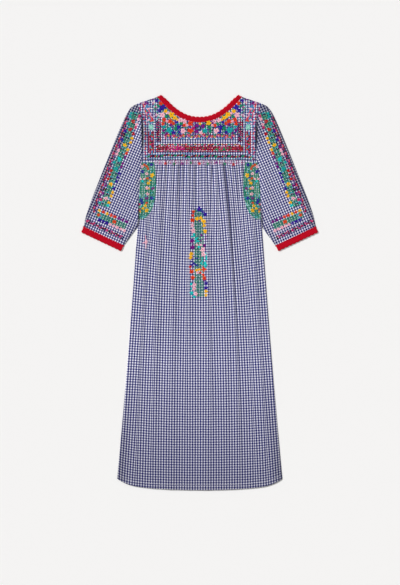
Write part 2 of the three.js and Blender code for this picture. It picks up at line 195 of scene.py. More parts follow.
# Slots beside the armhole's seam, as a place along the seam, its reach and the height of the sleeve's lip.
# The yoke's own lip of the upper slot is at a height on the Y axis.
ArmholeSlot = namedtuple("ArmholeSlot", "across reach lip")
ARMHOLE_SLOTS = [ArmholeSlot(0.235, 0.12, 9.4), ArmholeSlot(0.92, 0.09, 6.0)]
SLEEVE_LIP_AT = 0.0092
YOKE_SLOT_Y = 466
YOKE_SLOT_REACH = 40
YOKE_LIP = 8.4
YOKE_LIP_AT = 3.4
SLEEVE_EDGE_HEIGHT = 3.3
SLEEVE_LOFT = 1.9
SLEEVE_LOWEST = 1.35

# Painted shade on the cloth's colour: its creases, folded edges and lower skirt are painted a little darker
CREASE_SHADE = 0.6
SLEEVE_FOLD_SHADE = 0.5
UNDERARM_SHADE = 0.3
HEM_LIGHT = 0.66
SHADED_FROM_Y = -200

# Colours, as sRGB hex
CLOTH_WHITE = "#FAF9FA"
CLOTH_MIDDLE = "#585CAA"
CLOTH_NAVY = "#06064C"
FLOSS_COLOURS = {
    "blue": "#22009A",
    "orange": "#E83C08",
    "red": "#C40A04",
    "yellow": "#FFC200",
    "pink": "#FFC0D2",
    "rose": "#CE2C6E",
    "turquoise": "#00A8AC",
    "aqua": "#00CECC",
    "purple": "#700080",
    "green": "#00885A",
    "mint": "#8CD8C6",
    "crimson": "#900036",
    "magenta": "#C00074",
    "sky": "#3A8CC0",
    "ink": "#0C0C2C",
    "shell": "#D8A8C4",
    "white": "#ECEAEE",
}
CROCHET_RED = "#C20020"
YARN_ORDER = [*FLOSS_COLOURS, "crochet"]


def smooth(t, low, high):
    """0 below low and 1 above high, with a soft rise between."""
    s = np.clip((t - low) / (high - low), 0, 1)
    return s * s * (3 - 2 * s)


def bell(distance, width):
    return np.exp(-((distance / width) ** 2))


def wander(x, y, reach, seed):
    """Soft unevenness from -1 to 1 that varies over about the reach given."""
    random = np.random.default_rng(seed)
    total = 0
    for _ in range(6):
        angle, phase = random.uniform(0, 2 * math.pi, 2)
        wave = 2 * math.pi / (reach * random.uniform(0.7, 1.6))
        total = total + np.sin(wave * (x * math.cos(angle) + y * math.sin(angle)) + phase)
    return total / 4


def smooth_line(points, steps):
    """A centripetal Catmull-Rom curve through plan points, in equal steps along its length."""
    p = np.array([tuple(q) for q in points], float)
    ends = [2 * p[0] - p[1], 2 * p[-1] - p[-2]]
    p = np.vstack([ends[0], p, ends[1]])
    knots = np.concatenate([[0], np.cumsum(np.linalg.norm(np.diff(p, axis=0), axis=1) ** 0.5)])
    fine = []
    for i in range(1, len(p) - 2):
        t = np.linspace(knots[i], knots[i + 1], 24, endpoint=False)[:, None]
        t0, t1, t2, t3 = knots[i - 1:i + 3]
        a1 = (t1 - t) / (t1 - t0) * p[i - 1] + (t - t0) / (t1 - t0) * p[i]
        a2 = (t2 - t) / (t2 - t1) * p[i] + (t - t1) / (t2 - t1) * p[i + 1]
        a3 = (t3 - t) / (t3 - t2) * p[i + 1] + (t - t2) / (t3 - t2) * p[i + 2]
        b1 = (t2 - t) / (t2 - t0) * a1 + (t - t0) / (t2 - t0) * a2
        b2 = (t3 - t) / (t3 - t1) * a2 + (t - t1) / (t3 - t1) * a3
        fine.append((t2 - t) / (t2 - t1) * b1 + (t - t1) / (t2 - t1) * b2)
    fine.append(p[-2:-1])
    return along(np.vstack(fine), np.linspace(0, 1, steps + 1))


def unit(vectors):
    return vectors / np.linalg.norm(vectors, axis=-1, keepdims=True)


def length_of(line):
    return np.linalg.norm(np.diff(np.asarray(line, float), axis=0), axis=1).sum()


def upward(points, faces):
    """How far up the normal of each face points."""
    corner = points[faces]
    return np.cross(corner[:, 1] - corner[:, 0], corner[:, 2] - corner[:, 0])[:, 2]


def along(line, shares):
    """Points of a broken line at shares of its length."""
    line = np.asarray([tuple(q) for q in line], float)
    length = np.concatenate([[0], np.cumsum(np.linalg.norm(np.diff(line, axis=0), axis=1))])
    at = np.asarray(shares) * length[-1]
    return np.stack([np.interp(at, length, line[:, k]) for k in range(2)], axis=-1)


armhole_upper = smooth_line(ARMHOLE_ABOVE_SEAM, 60)
armhole_lower = smooth_line(ARMHOLE_BELOW_SEAM, 60)
armhole = np.vstack([armhole_upper, armhole_lower[1:]])
sleeve_fold = smooth_line(SLEEVE_FOLD, 120)


# Plan of each panel

def side_seam_x(down):
    """Half the skirt's width at a share of the way from the underarm to the hem's corner."""
    straight = UNDERARM[0] + BODY_SHIFT[0] + down * (HEM_CORNER[0] - UNDERARM[0] - BODY_SHIFT[0])
    return straight - SIDE_BOW * np.sin(math.pi * np.clip(down, 0, 1))


def skirt_half_width(y):
    down = (UNDERARM[1] - y) / (UNDERARM[1] - HEM_CORNER[1])
    above = np.interp(-y, -armhole_lower[:, 1], armhole_lower[:, 0])
    return np.where(y < UNDERARM[1], side_seam_x(down), above)


def hem_y(x):
    share = np.abs(x) / HEM_CORNER[0]
    return HEM_Y + (HEM_CORNER[1] - HEM_Y) * (0.42 * share ** 2 + 0.58 * share ** 8)


def skirt_plan(across, heights):
    """Plan points of a skirt panel: across runs from -1 to 1, heights are the side edge's own.

    The column at CREASE_COLUMN runs along the main crease."""
    a, y = np.meshgrid(across, heights)
    top = YOKE_SEAM[1] - SEAM_GAP
    y = np.minimum(y, top)
    down = np.clip((UNDERARM[1] - y) / (UNDERARM[1] - HEM_CORNER[1]), 0, 1)
    half = skirt_half_width(y) + np.where(y < UNDERARM[1], 0, BODY_SHIFT[0])
    plan_y = y + (hem_y(a * HEM_CORNER[0]) - HEM_CORNER[1]) * down
    crease = fold_path(MAIN_CREASE, (YOKE_SEAM[1] - plan_y) / (YOKE_SEAM[1] - HEM_Y)) / half
    before = (a + 1) * (crease + 1) / (CREASE_COLUMN + 1) - 1
    after = 1 - (1 - a) * (1 - crease) / (1 - CREASE_COLUMN)
    return np.where(a < CREASE_COLUMN, before, after) * half, plan_y


def neckline(across):
    """Plan points of the yoke's neckline: across runs from -1 to 1."""
    across = np.asarray(across, float)
    y = NECK_BOTTOM_Y + (NECK_CORNER[1] - NECK_BOTTOM_Y) * np.abs(across) ** NECK_CURVE
    return np.stack([NECK_CORNER[0] * across, y], axis=-1)


def yoke_plan(across, down):
    """Plan points of a yoke: across runs from -1 to 1, down from 0 at the shoulders to 1 at its seam."""
    a, d = np.meshgrid(across, down)
    tip = SHOULDER_TIP + BODY_SHIFT
    bottom = np.array([YOKE_SEAM[0] + BODY_SHIFT[0], YOKE_SEAM[1]])
    inner = np.clip(np.abs(a) / NECK_SHARE, 0, 1)
    inner = inner * (1.2 - 0.2 * inner ** 2)
    outer = np.clip((np.abs(a) - NECK_SHARE) / (1 - NECK_SHARE), 0, 1)[..., None]
    top = neckline(inner) * (1 - outer) + tip * outer
    base = np.stack([np.abs(a) * bottom[0], np.full_like(a, bottom[1])], axis=-1)
    plan = top * (1 - d[..., None]) + base * d[..., None]
    side = along(armhole_upper, down)[:, None, :] + BODY_SHIFT
    straight = tip * (1 - d[..., None]) + bottom * d[..., None]
    pull = (np.abs(a) ** 5)[..., None]
    plan = plan + pull * (side - straight) * np.where(d < 1, 1, 0)[..., None]
    return plan[..., 0] * np.sign(a), plan[..., 1]


def sleeve_plan(down, across):
    """Plan of the left sleeve: down runs from the armhole to the cuff, across from the fold to the underarm.

    The cuff's own edge is straight."""
    s, t = np.meshgrid(down, across, indexing="ij")
    s, t = s[..., None], t[..., None]
    fold = along(sleeve_fold, down)[:, None, :]
    under = UNDERARM * (1 - s) + CUFF_INNER * s
    seam = along(armhole, across)[None, :, :]
    straight_seam = SHOULDER_TIP * (1 - t) + UNDERARM * t
    plan = (seam - straight_seam) * (1 - s) + fold * (1 - t) + under * t
    return plan[..., 0], plan[..., 1]


# Heights of the cloth

def fold_path(fold, share):
    """How far from the middle a fold runs at a share of the skirt's length."""
    swing = 4 * fold.bow * share * (1 - share)
    return fold.top + (fold.hem - fold.top) * share + swing


def fold_lift(fold, x, share):
    width = fold.width * (1 + (FOLD_SPREAD - 1) * share)
    off = x - fold_path(fold, share)
    fade = smooth(share, 0.006, fold.start) * (1 - smooth(share, fold.start, fold.end))
    return fold.height * fade * bell(off, np.where(off > 0, STEEP_SIDE * width, width))


def crease_lift(crease, x, share):
    """How high a crease's ridge and lip stand, and how deep the groove between them is."""
    off = x - fold_path(crease, share)
    fade = smooth(share, 0, crease.start) * (1 - smooth(share, crease.start, crease.end))
    ridge = crease.height * bell(off, np.where(off > 0, CREASE_DROP, crease.width))
    beyond = off - CREASE_SLOT - CREASE_LIP_BEYOND
    lip_width = np.where(beyond > 0, CREASE_LIP * crease.width, CREASE_LIP_DROP)
    lip = CREASE_LIP * crease.height * bell(beyond, lip_width)
    groove = CREASE_GROOVE * bell(off - CREASE_LIP_DROP - CREASE_SLOT / 2, CREASE_SLOT / 2)
    return fade * (ridge + lip), fade * groove


def skirt_height(x, y):
    """Height of the front skirt's upper face."""
    share = (YOKE_SEAM[1] - y) / (YOKE_SEAM[1] - HEM_Y)
    edge = skirt_half_width(y) - np.abs(x)
    lift = sum(fold_lift(fold, x, share) for fold in GATHERS + LONG_FOLDS)
    lift = lift + UNEVEN_LIFT * (1 + wander(x * 3, y * 0.6, 90, 3)) * smooth(share, 0.02, 0.1)
    lift = lift * smooth(edge, 0, FLAT_SIDE_STRIP) * (1 + (FOLD_HEM_HEIGHT - 1) * share)
    lift = FOLD_LIMIT * np.tanh(lift / FOLD_LIMIT)
    ridges, grooves = zip(*(crease_lift(crease, x, share) for crease in CREASES))
    main_slot = bell(x - fold_path(MAIN_CREASE, share) - MAIN_SLOT_AT, MAIN_SLOT_REACH)
    lift = np.maximum(lift * (1 - main_slot), 0) + sum(ridges)
    lift = CREASE_LIMIT * np.tanh(lift / CREASE_LIMIT) - np.minimum(sum(grooves), GROOVE_LIMIT)
    depth = YOKE_SEAM[1] - y
    in_band = smooth(SMOCKING_HALF_WIDTH - np.abs(x), 0, SMOCKING_SOFT_SIDE)
    below = smooth(depth, SMOCKING_DEPTH - SMOCKING_SOFT_END, SMOCKING_DEPTH + SMOCKING_SOFT_END)
    in_band = in_band * (1 - below)
    tucks = TUCK_HEIGHT * np.abs(np.sin(math.pi * x / TUCK_PITCH)) * in_band
    seam = -SEAM_DIP * bell(depth, SEAM_DIP_REACH)
    above_hem = y - hem_y(x)
    hem = HEM_LAYER * (1 - smooth(above_hem, HEM_TURN - 2, HEM_TURN))
    hem = hem - HEM_STITCH_DIP * bell(above_hem - HEM_TURN, 1.3)
    outward = 1 - np.clip(edge / SIDE_ROLL_REACH, 0, 1)
    rolled = SIDE_ROLL * (1 - np.sqrt(1 - outward ** 2)) * smooth(depth, 20, 60)
    return FRONT_FLOOR + WALL + lift + tucks + seam + hem - rolled


def place_across(x, share, tops, step):
    """Place across the cloth: the folds that start at tops hide what is too wide for the skirt there."""
    known = [run.top for run in THREAD_RUNS]
    hems = np.interp(tops, known, [run.hem for run in THREAD_RUNS])
    bows = np.interp(tops, known, [run.bow for run in THREAD_RUNS])
    paths = [t + (h - t) * share + 4 * b * share * (1 - share) for t, h, b in zip(tops, hems, bows)]
    at_hem = (hems[1:] + hems[:-1]) / 2
    hidden = [at_hem[k] - (paths[k] + paths[k + 1]) / 2 for k in range(len(tops) - 1)]
    place = x + hidden[0]
    for k in range(1, len(hidden)):
        place = place + (hidden[k] - hidden[k - 1]) * 0.5 * (1 + np.tanh((x - paths[k]) / step))
    return place


def skirt_cloth(x, y):
    """Place of a plan point of the skirt on its own cloth.

    Between two folds the checks keep their size and run with the folds, and the rows sag in the middle."""
    share = (YOKE_SEAM[1] - y) / (YOKE_SEAM[1] - HEM_Y)
    gathered = place_across(x, share, GATHER_TOPS, 1.8)
    flowing = place_across(x, share, FLOW_TOPS, 2.2)
    u = gathered + (flowing - gathered) * smooth(share, 0.1, 0.32)
    half = skirt_half_width(y)
    sag = (0.03 + 0.08 * bell(share - 0.27, 0.14)) * half * (x / half) ** 2 * smooth(share, 0.02, 0.2)
    corner = 15 * np.abs(x / half) ** 7 * smooth(share, 0.75, 1)
    wave = (0.5 + 0.9 * (1 - smooth(share, 0.2, 0.5))) * wander(x * 2.2, y * 0.5, 80, 11)
    return u / SKIRT_SPREAD[0], (y - sag - corner + wave) / SKIRT_SPREAD[1]


def neckline_y(x):
    share = np.clip(np.abs(x) / NECK_CORNER[0], 0, 1)
    return NECK_BOTTOM_Y + (NECK_CORNER[1] - NECK_BOTTOM_Y) * share ** NECK_CURVE


def from_yoke_side(x, y):
    """How far inside the armhole's seam a point of the yoke is."""
    return np.interp(-y, -armhole_upper[:, 1], armhole_upper[:, 0]) - np.abs(x)


def yoke_height(x, y):
    """Height of the front yoke's upper face: it crowns a little and dips at its seams."""
    side = from_yoke_side(x, y)
    near_neck = y - neckline_y(x)
    across = np.clip(side / YOKE_CROWN_REACH, 0, 1) ** 0.5
    rise = YOKE_CROWN * across * smooth(y - YOKE_SEAM[1], 0, 30) * smooth(-near_neck, 0, 30)
    groove = bell(y - YOKE_SLOT_Y, YOKE_SLOT_REACH)
    dips = (YOKE_SIDE_DIP + 1.6 * groove) * bell(side, 2) + YOKE_SEAM_DIP * bell(y - YOKE_SEAM[1], 2.0)
    rise = rise + YOKE_LIP * groove * bell(side - YOKE_LIP_AT, np.where(side < YOKE_LIP_AT, 1.0, 9))
    return FRONT_FLOOR + WALL + rise + 0.12 * wander(x, y, 26, 5) - np.minimum(dips, GROOVE_LIMIT)


def sleeve_height(down, across):
    """Height of a sleeve's upper face."""
    s, t = np.meshgrid(down, across, indexing="ij")
    away = smooth(s, 0, 0.1) * (1 - 0.75 * smooth(s, 0.86, 1))
    crown = np.sin(math.pi * np.clip(t, 0, 1)) ** 0.6
    lift = SLEEVE_LOFT + sum(
        r.height * bell(t - r.across, r.across_width) * bell(s - r.along, r.along_width)
        for r in SLEEVE_RIDGES
    )
    slots = 0
    for slot in ARMHOLE_SLOTS:
        lip = slot.lip * bell(s - SLEEVE_LIP_AT, np.where(s < SLEEVE_LIP_AT, 0.0026, 0.036))
        slots = slots + (lip - 2.4 * bell(s, 0.005)) * bell(t - slot.across, slot.reach)
    seam = 0.9 * bell(s, 0.012)
    rolled = 1 - 0.5 * (1 - np.clip(np.minimum(t, 1 - t) / 0.045, 0, 1)) ** 2
    uneven = 0.15 * wander(s * 400, t * 200, 45, 9) * crown
    height = (SLEEVE_EDGE_HEIGHT + crown * away * lift + uneven - seam) * rolled + slots
    return np.maximum(height, SLEEVE_LOWEST)


# Painted shade of the cloth

# Painted shade: the cloth's colour darkens towards the hem, and more along the side edges of the lower skirt
def skirt_shade(x, y):
    lower = np.interp(y, [-580, SHADED_FROM_Y], [HEM_LIGHT, 1])
    edge = 1 - smooth(skirt_half_width(y) - np.abs(x), 0, 44)
    return lower * (1 - 1.1 * (1 - lower) * edge)


# Painted shade in the crease beside the armhole's seam, on the yoke's side
def yoke_shade(x, y):
    return 1 - CREASE_SHADE * bell(y - 458, 42) * bell(from_yoke_side(x, y), 5.5)


# Painted shade in the armhole's creases, along the sleeve's fold and beside the underarm seam
def sleeve_shade(down, across):
    s, t = np.meshgrid(down, across, indexing="ij")
    crease = sum(CREASE_SHADE * bell(t - slot.across, slot.reach) for slot in ARMHOLE_SLOTS) * bell(s, 0.02)
    fold = SLEEVE_FOLD_SHADE * (1 - smooth(t, 0, 0.19))
    seam = UNDERARM_SHADE * bell(1 - t, 0.06)
    return (1 - crease) * (1 - fold) * (1 - seam)


# Meshes

def mesh_object(name, points, faces, smooth_faces=True):
    """An object of points in millimetres."""
    mesh = bpy.data.meshes.new(name)
    mesh.from_pydata((np.asarray(points) * MM).tolist(), [], [tuple(f) for f in faces])
    if smooth_faces:
        mesh.polygons.foreach_set("use_smooth", [True] * len(mesh.polygons))
    mesh.update()
    piece = bpy.data.objects.new(name, mesh)
    bpy.context.scene.collection.objects.link(piece)
    return piece


def give_uv(piece, places):
    """Writes a place on the cloth, in check repeats, to each corner of each face."""
    mesh = piece.data
    layer = mesh.uv_layers.new(name="cloth")
    corners = np.zeros(len(mesh.loops), np.int32)
    mesh.loops.foreach_get("vertex_index", corners)
    layer.data.foreach_set("uv", np.asarray(places, np.float32)[corners].ravel())


def give_shade(piece, values):
    """Writes the painted shade at each vertex: how much the cloth's colour is darkened there."""
    layer = piece.data.attributes.new("shade", "FLOAT", "POINT")
    layer.data.foreach_set("value", np.tile(values.ravel(), 2).astype(np.float32))


def quads(*corners):
    return np.stack(corners, -1).reshape(-1, 4)


def cloth_piece(name, points, faces, upper, cloth, shade):
    """A closed shell of two like layers, turned so that its upper faces face up."""
    if upward(points, faces[upper]).sum() < 0:
        faces = faces[:, ::-1]
    piece = mesh_object(name, points, faces)
    places = np.stack([np.asarray(part).ravel() for part in cloth], -1) / CHECK_REPEAT
    give_uv(piece, np.concatenate([places, places]))
    give_shade(piece, shade)
    return piece


def cloth_shell(name, x, y, top, bottom, cloth, shade):
    """A thin closed shell over a grid of plan points, with its upper and lower faces' heights."""
    rows, columns = x.shape
    index = np.arange(x.size).reshape(rows, columns)
    rim = np.concatenate([index[0, :-1], index[:-1, -1], index[-1, :0:-1], index[:0:-1, 0]])
    after = np.roll(rim, -1)
    faces = np.concatenate([
        quads(index[:-1, :-1], index[:-1, 1:], index[1:, 1:], index[1:, :-1]),
        quads(index[:-1, :-1], index[1:, :-1], index[1:, 1:], index[:-1, 1:]) + x.size,
        quads(rim, rim + x.size, after + x.size, after),
    ])
    points = np.concatenate([np.stack([x, y, z], -1).reshape(-1, 3) for z in (top, bottom)])
    return cloth_piece(name, points, faces, slice((rows - 1) * (columns - 1)), cloth, shade)


def tube_shell(name, x, y, top, bottom, wall, cloth, shade):
    """A flattened tube. Rows run from one open end to the other, columns from one fold to the other."""
    rows, columns = x.shape
    ring = 2 * columns - 2
    back = np.arange(columns - 2, 0, -1)
    order = np.concatenate([np.arange(columns), back])
    is_top = np.arange(ring) < columns
    is_edge = (order == 0) | (order == columns - 1)
    toward = np.where(order == 0, 1, columns - 2)
    layers = []
    for inset in (0, wall):
        px, py = x[:, order].copy(), y[:, order].copy()
        nx, ny = x[:, toward], y[:, toward]
        reach = np.hypot(nx - px, ny - py)
        share = np.where(is_edge, np.minimum(inset / reach, 0.8), 0)
        px, py = px + (nx - px) * share, py + (ny - py) * share
        upper, lower = top[:, order] - inset, bottom[:, order] + inset
        z = np.where(is_edge, (top[:, order] + bottom[:, order]) / 2, np.where(is_top, upper, lower))
        layers.append(np.stack([px, py, z], -1))
    points = np.concatenate([layer.reshape(-1, 3) for layer in layers])
    index = np.arange(rows * ring).reshape(rows, ring)
    after = np.roll(index, -1, axis=1)
    faces = np.concatenate([
        quads(index[:-1], after[:-1], after[1:], index[1:]),
        quads(index[:-1], index[1:], after[1:], after[:-1]) + index.size,
        quads(index[0], index[0] + index.size, after[0] + index.size, after[0]),
        quads(index[-1], after[-1], after[-1] + index.size, index[-1] + index.size),
    ])
    upper = np.flatnonzero(np.tile(is_top, rows - 1))
    return cloth_piece(name, points, faces, upper, [part[:, order] for part in cloth], shade[:, order])


def surface_of(*pieces):
    """A function that gives the height of the pieces' upper face at plan points, in millimetres."""
    trees = []
    for piece in pieces:
        faces = [tuple(face.vertices) for face in piece.data.polygons]
        trees.append(BVHTree.FromPolygons([vertex.co for vertex in piece.data.vertices], faces))
    down = Vector((0, 0, -1))

    def height(x, y):
        found = np.empty(len(x))
        last = FRONT_FLOOR + WALL
        for i, (px, py) in enumerate(zip(x * MM, y * MM)):
            best = None
            for tree in trees:
                place = tree.ray_cast(Vector((px, py, 0.1)), down)[0]
                if place is not None and (best is None or place.z > best):
                    best = place.z
            if best is not None:
                last = best / MM
            found[i] = last
        return found
    return height


# Stitches

Stitch = namedtuple("Stitch", "x y angle length width height colour roundness")
STITCH_ROWS = 4
STITCH_COLUMNS = 6


def stations(line, pitch):
    """Evenly spaced places on a line, about a pitch apart, as x, y and the line's direction."""
    count = max(2, round(length_of(line) / pitch))
    at = along(line, (np.arange(count) + 0.5) / count)
    ahead = along(line, (np.arange(count) + 0.6) / count)
    return [(*here, math.atan2(there[1] - here[1], there[0] - here[0])) for here, there in zip(at, ahead)]


def beside(start, angle, forward, outward):
    """The point that lies so far forward of another, at an angle, and so far to the left."""
    x = start[0] + forward * math.cos(angle) - outward * math.sin(angle)
    return x, start[1] + forward * math.sin(angle) + outward * math.cos(angle)


class Needlework:
    """Collects satin stitches, and makes one joined mesh of them that lies on the cloth."""

    def __init__(self):
        self.stitches = []
        self.random = np.random.default_rng(31)

    def stitch(self, x, y, angle, length, width, colour, height, roundness):
        """A small padded block of thread: roundness is low for a square end and high for a pointed one."""
        self.stitches.append(Stitch(x, y, angle, length, width, height, YARN_ORDER.index(colour), roundness))

    def flower(self, x, y, radius, colour, eye, petals, turn):
        """Petals that differ a little, with gaps between them, around an eye."""
        for k in range(petals):
            angle = turn + 2 * math.pi * (k + self.random.uniform(-0.15, 0.15)) / petals
            petal = radius * self.random.uniform(0.84, 1.2)
            width = 1.22 * radius * math.sin(math.pi / petals)
            self.stitch(*beside((x, y), angle, petal * 0.55, 0), angle, petal, width, colour, 0.95, 0.42)
        self.stitch(x, y, turn, radius * 0.42, radius * 0.36, eye, 1.25, 0.5)

    def leaf(self, x, y, angle, length, colour="green"):
        self.stitch(x, y, angle, length, length * 0.42, colour, 0.7, 0.7)

    def row(self, line, pitch, width, slants, colours, height, sway=0.0, sway_length=1.0):
        """Slanted stitches side by side along a line that may sway, with slants and colours in turn."""
        places = stations(line, pitch)
        step = length_of(line) / len(places) * 1.08
        for k, (x, y, angle) in enumerate(places):
            place = beside((x, y), angle, 0, sway * math.sin(2 * math.pi * k * pitch / sway_length))
            slant, colour = slants[k % len(slants)], colours[k % len(colours)]
            self.stitch(*place, angle + slant, width, step, colour, height, 0.3)

    def run(self, line, pitch, length, width, colours, height=0.6):
        """Running stitches along a line, with colours in turn."""
        for k, (x, y, angle) in enumerate(stations(line, pitch)):
            self.stitch(x, y, angle, length, width, colours[k % len(colours)], height, 0.35)

    def mirrored(self):
        """Adds the same stitches on the other side of the middle."""
        for s in list(self.stitches):
            self.stitches.append(s._replace(x=-s.x, angle=math.pi - s.angle))

    def build(self, name, surface, lift=0.05, slot="check_cotton"):
        table = np.array(self.stitches, float)
        x, y, angle, length, width, height, colours, roundness = (table[:, k, None, None] for k in range(8))
        p = np.linspace(0, 1, STITCH_ROWS + 1)[None, :, None]
        q = np.linspace(-1, 1, STITCH_COLUMNS + 1)[None, None, :]
        outline = np.maximum(np.sin(math.pi * np.clip(p, 0.03, 0.97)), 0.02) ** roundness
        ahead = (p - 0.5) * length + 0 * q
        aside = q * 0.5 * width * outline
        thread = 0.88 + 0.12 * np.cos(math.pi * STITCH_COLUMNS * (q + 1) / 2)
        dome = np.sqrt(np.clip(1 - (0.98 * q) ** 2, 0, 1)) * np.sin(math.pi * p) ** 0.4
        px = x + ahead * np.cos(angle) - aside * np.sin(angle)
        py = y + ahead * np.sin(angle) + aside * np.cos(angle)
        ground = surface(px.ravel(), py.ravel()).reshape(px.shape)
        pz = ground + lift + height * dome * thread - 0.25 * (dome < 0.25)
        points = np.stack([px, py, pz], -1).reshape(-1, 3)
        rows, columns = STITCH_ROWS + 1, STITCH_COLUMNS + 1
        cell = np.arange(rows * columns).reshape(rows, columns)
        quad = quads(cell[:-1, :-1], cell[1:, :-1], cell[1:, 1:], cell[:-1, 1:])
        faces = (np.arange(len(table))[:, None, None] * rows * columns + quad[None]).reshape(-1, 4)
        over = upward(points, faces) < 0
        faces[over] = faces[over][:, ::-1]
        piece = mesh_object(name, points, faces)
        yarn = np.repeat(colours.astype(int).ravel(), len(quad))
        used = sorted(set(yarn))
        for k in used:
            piece.data.materials.append(yarns[YARN_ORDER[k]])
        piece.data.polygons.foreach_set("material_index", np.searchsorted(used, yarn).astype(np.int32))
        give_uv(piece, np.stack([(0 * p + q) * width / 2, p * length + 0 * q], -1).reshape(-1, 2))
        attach(piece, "root")


# Materials

def linear(hex_colour):
    """An sRGB hex colour as linear red, green, blue and alpha."""
    channels = [int(hex_colour[k:k + 2], 16) / 255 for k in (1, 3, 5)]
    return [c / 12.92 if c <= 0.04045 else ((c + 0.055) / 1.055) ** 2.4 for c in channels] + [1.0]


def add(tree, kind, inputs=None, **settings):
    """Adds a node: settings are its own, inputs are values or the sockets that feed it."""
    added = tree.nodes.new(kind)
    for name, value in settings.items():
        setattr(added, name, value)
    feed(tree, added, inputs or {})
    return added


def feed(tree, node, inputs):
    """Gives a node its inputs, as values or as the sockets that feed them."""
    for name, value in inputs.items():
        if isinstance(value, bpy.types.NodeSocket):
            tree.links.new(value, node.inputs[name])
        else:
            node.inputs[name].default_value = value


def new_material(name):
    material = bpy.data.materials.new(name)
    material.use_nodes = True
    tree = material.node_tree
    return material, tree, tree.nodes["Principled BSDF"]


def woven_gingham():
    """Plain-woven yarn-dyed cotton: matt, with soft-edged checks and threads that vary a little."""
    material, tree, surface = new_material("gingham_cotton")
    place = add(tree, "ShaderNodeUVMap", uv_map="cloth")
    split = add(tree, "ShaderNodeSeparateXYZ", {0: place.outputs[0]})
    stripes = []
    for axis in (0, 1):
        turn = add(tree, "ShaderNodeMath", {0: split.outputs[axis], 1: 2 * math.pi}, operation="MULTIPLY")
        wave = add(tree, "ShaderNodeMath", {0: turn.outputs[0]}, operation="SINE")
        stripe = add(
            tree, "ShaderNodeMapRange",
            {0: wave.outputs[0], "From Min": -0.24, "From Max": -0.02}, interpolation_type="SMOOTHSTEP",
        )
        stripes.append(stripe.outputs[0])
    # Real threads are 0.25 mm apart. They are drawn at 0.6 mm, so that they still show in a close view.
    black, white = (0, 0, 0, 1), (1, 1, 1, 1)
    cells = add(
        tree, "ShaderNodeTexChecker",
        {"Vector": place.outputs[0], "Color1": black, "Color2": white, "Scale": THREADS_A_REPEAT},
    )
    over = add(tree, "ShaderNodeMapRange", {0: cells.outputs[1], "To Min": 0.3, "To Max": 0.57})
    woven = add(tree, "ShaderNodeMix", {0: over.outputs[0], 2: stripes[0], 3: stripes[1]}, data_type="FLOAT")
    checks = add(tree, "ShaderNodeValToRGB", {0: woven.outputs[0]})
    ramp = checks.color_ramp
    ramp.elements[0].color = linear(CLOTH_WHITE)
    ramp.elements[1].color = linear(CLOTH_NAVY)
    ramp.elements.new(0.5).color = linear(CLOTH_MIDDLE)
    slub_size = {"Scale": 1.3, "Detail": 3.0, "Roughness": 0.6}
    slubs = add(tree, "ShaderNodeTexNoise", {"Vector": place.outputs[0], **slub_size})
    uneven = add(tree, "ShaderNodeMapRange", {0: slubs.outputs[0], "To Min": 0.88, "To Max": 1.12})
    # Painted shade: the mesh's shade attribute darkens the check's colour in creases, at folded edges and on
    # the lower skirt
    shade = add(tree, "ShaderNodeAttribute", attribute_name="shade")
    value = add(tree, "ShaderNodeMath", {0: uneven.outputs[0], 1: shade.outputs["Fac"]}, operation="MULTIPLY")
    tint = add(tree, "ShaderNodeHueSaturation", {"Color": checks.outputs[0], "Value": value.outputs[0]})
    weave = add(tree, "ShaderNodeBump", {"Height": cells.outputs[1], "Strength": 0.25, "Distance": 0.00012})
    feed(tree, surface, {
        "Base Color": tint.outputs[0], "Normal": weave.outputs[0], "Roughness": 0.88,
        "Sheen Weight": 0.12, "Sheen Roughness": 0.5, "Specular IOR Level": 0.25,
    })
    return material


def cotton_floss(name, colour):
    """Six-strand mercerised cotton: a soft gloss along the threads, and dark lines of painted shade between
    them.
    """
    material, tree, surface = new_material(f"cotton_floss_{name}")
    place = add(tree, "ShaderNodeUVMap", uv_map="cloth")
    strands = add(
        tree, "ShaderNodeTexWave",
        {"Vector": place.outputs[0], "Scale": 4.2, "Distortion": 0.6, "Detail": 1.0},
        wave_type="BANDS", bands_direction="X",
    )
    # Painted shade: the colour darkens in the lines between the strands
    shade = add(tree, "ShaderNodeMapRange", {0: strands.outputs["Fac"], "To Min": 0.78, "To Max": 1.08})
    tint = add(tree, "ShaderNodeHueSaturation", {"Color": linear(colour), "Value": shade.outputs[0]})
    grooves = {"Height": strands.outputs["Fac"], "Strength": 0.4, "Distance": 0.0002}
    ridges = add(tree, "ShaderNodeBump", grooves)
    feed(tree, surface, {
        "Base Color": tint.outputs[0], "Normal": ridges.outputs[0], "Roughness": 0.6,
        "Sheen Weight": 0.04, "Specular IOR Level": 0.22,
    })
    return material


def crochet_cotton():
    """Hard-twisted crochet cotton: matt red, with a fine twist."""
    material, tree, surface = new_material("crochet_cotton_red")
    place = add(tree, "ShaderNodeTexCoord")
    ply_size = {"Scale": 900.0, "Detail": 2.0}
    plies = add(tree, "ShaderNodeTexNoise", {"Vector": place.outputs["Object"], **ply_size})
    shade = add(tree, "ShaderNodeMapRange", {0: plies.outputs[0], "To Min": 0.75, "To Max": 1.2})
    tint = add(tree, "ShaderNodeHueSaturation", {"Color": linear(CROCHET_RED), "Value": shade.outputs[0]})
    fibre = add(tree, "ShaderNodeBump", {"Height": plies.outputs[0], "Strength": 0.4, "Distance": 0.0003})
    feed(tree, surface, {
        "Base Color": tint.outputs[0], "Normal": fibre.outputs[0], "Roughness": 0.8,
        "Sheen Weight": 0.03, "Specular IOR Level": 0.12,
    })
    return material


def painted_board():
    """A smooth board with matt off-white paint, which the dress lies on."""
    material, tree, surface = new_material("matt_off_white_paint")
    feed(tree, surface, {"Base Color": linear("#FAF9F8"), "Roughness": 0.95, "Specular IOR Level": 0.1})
    return material


gingham = woven_gingham()
yarns = {name: cotton_floss(name, colour) for name, colour in FLOSS_COLOURS.items()}
yarns["crochet"] = crochet_cotton()


def sew(piece, node, material):
    """A piece of the dress that stands for one of the part's solids."""
    piece.data.materials.append(material)
    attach(piece, "root")
    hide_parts(node)
    return piece


# Skirts, yokes and sleeves

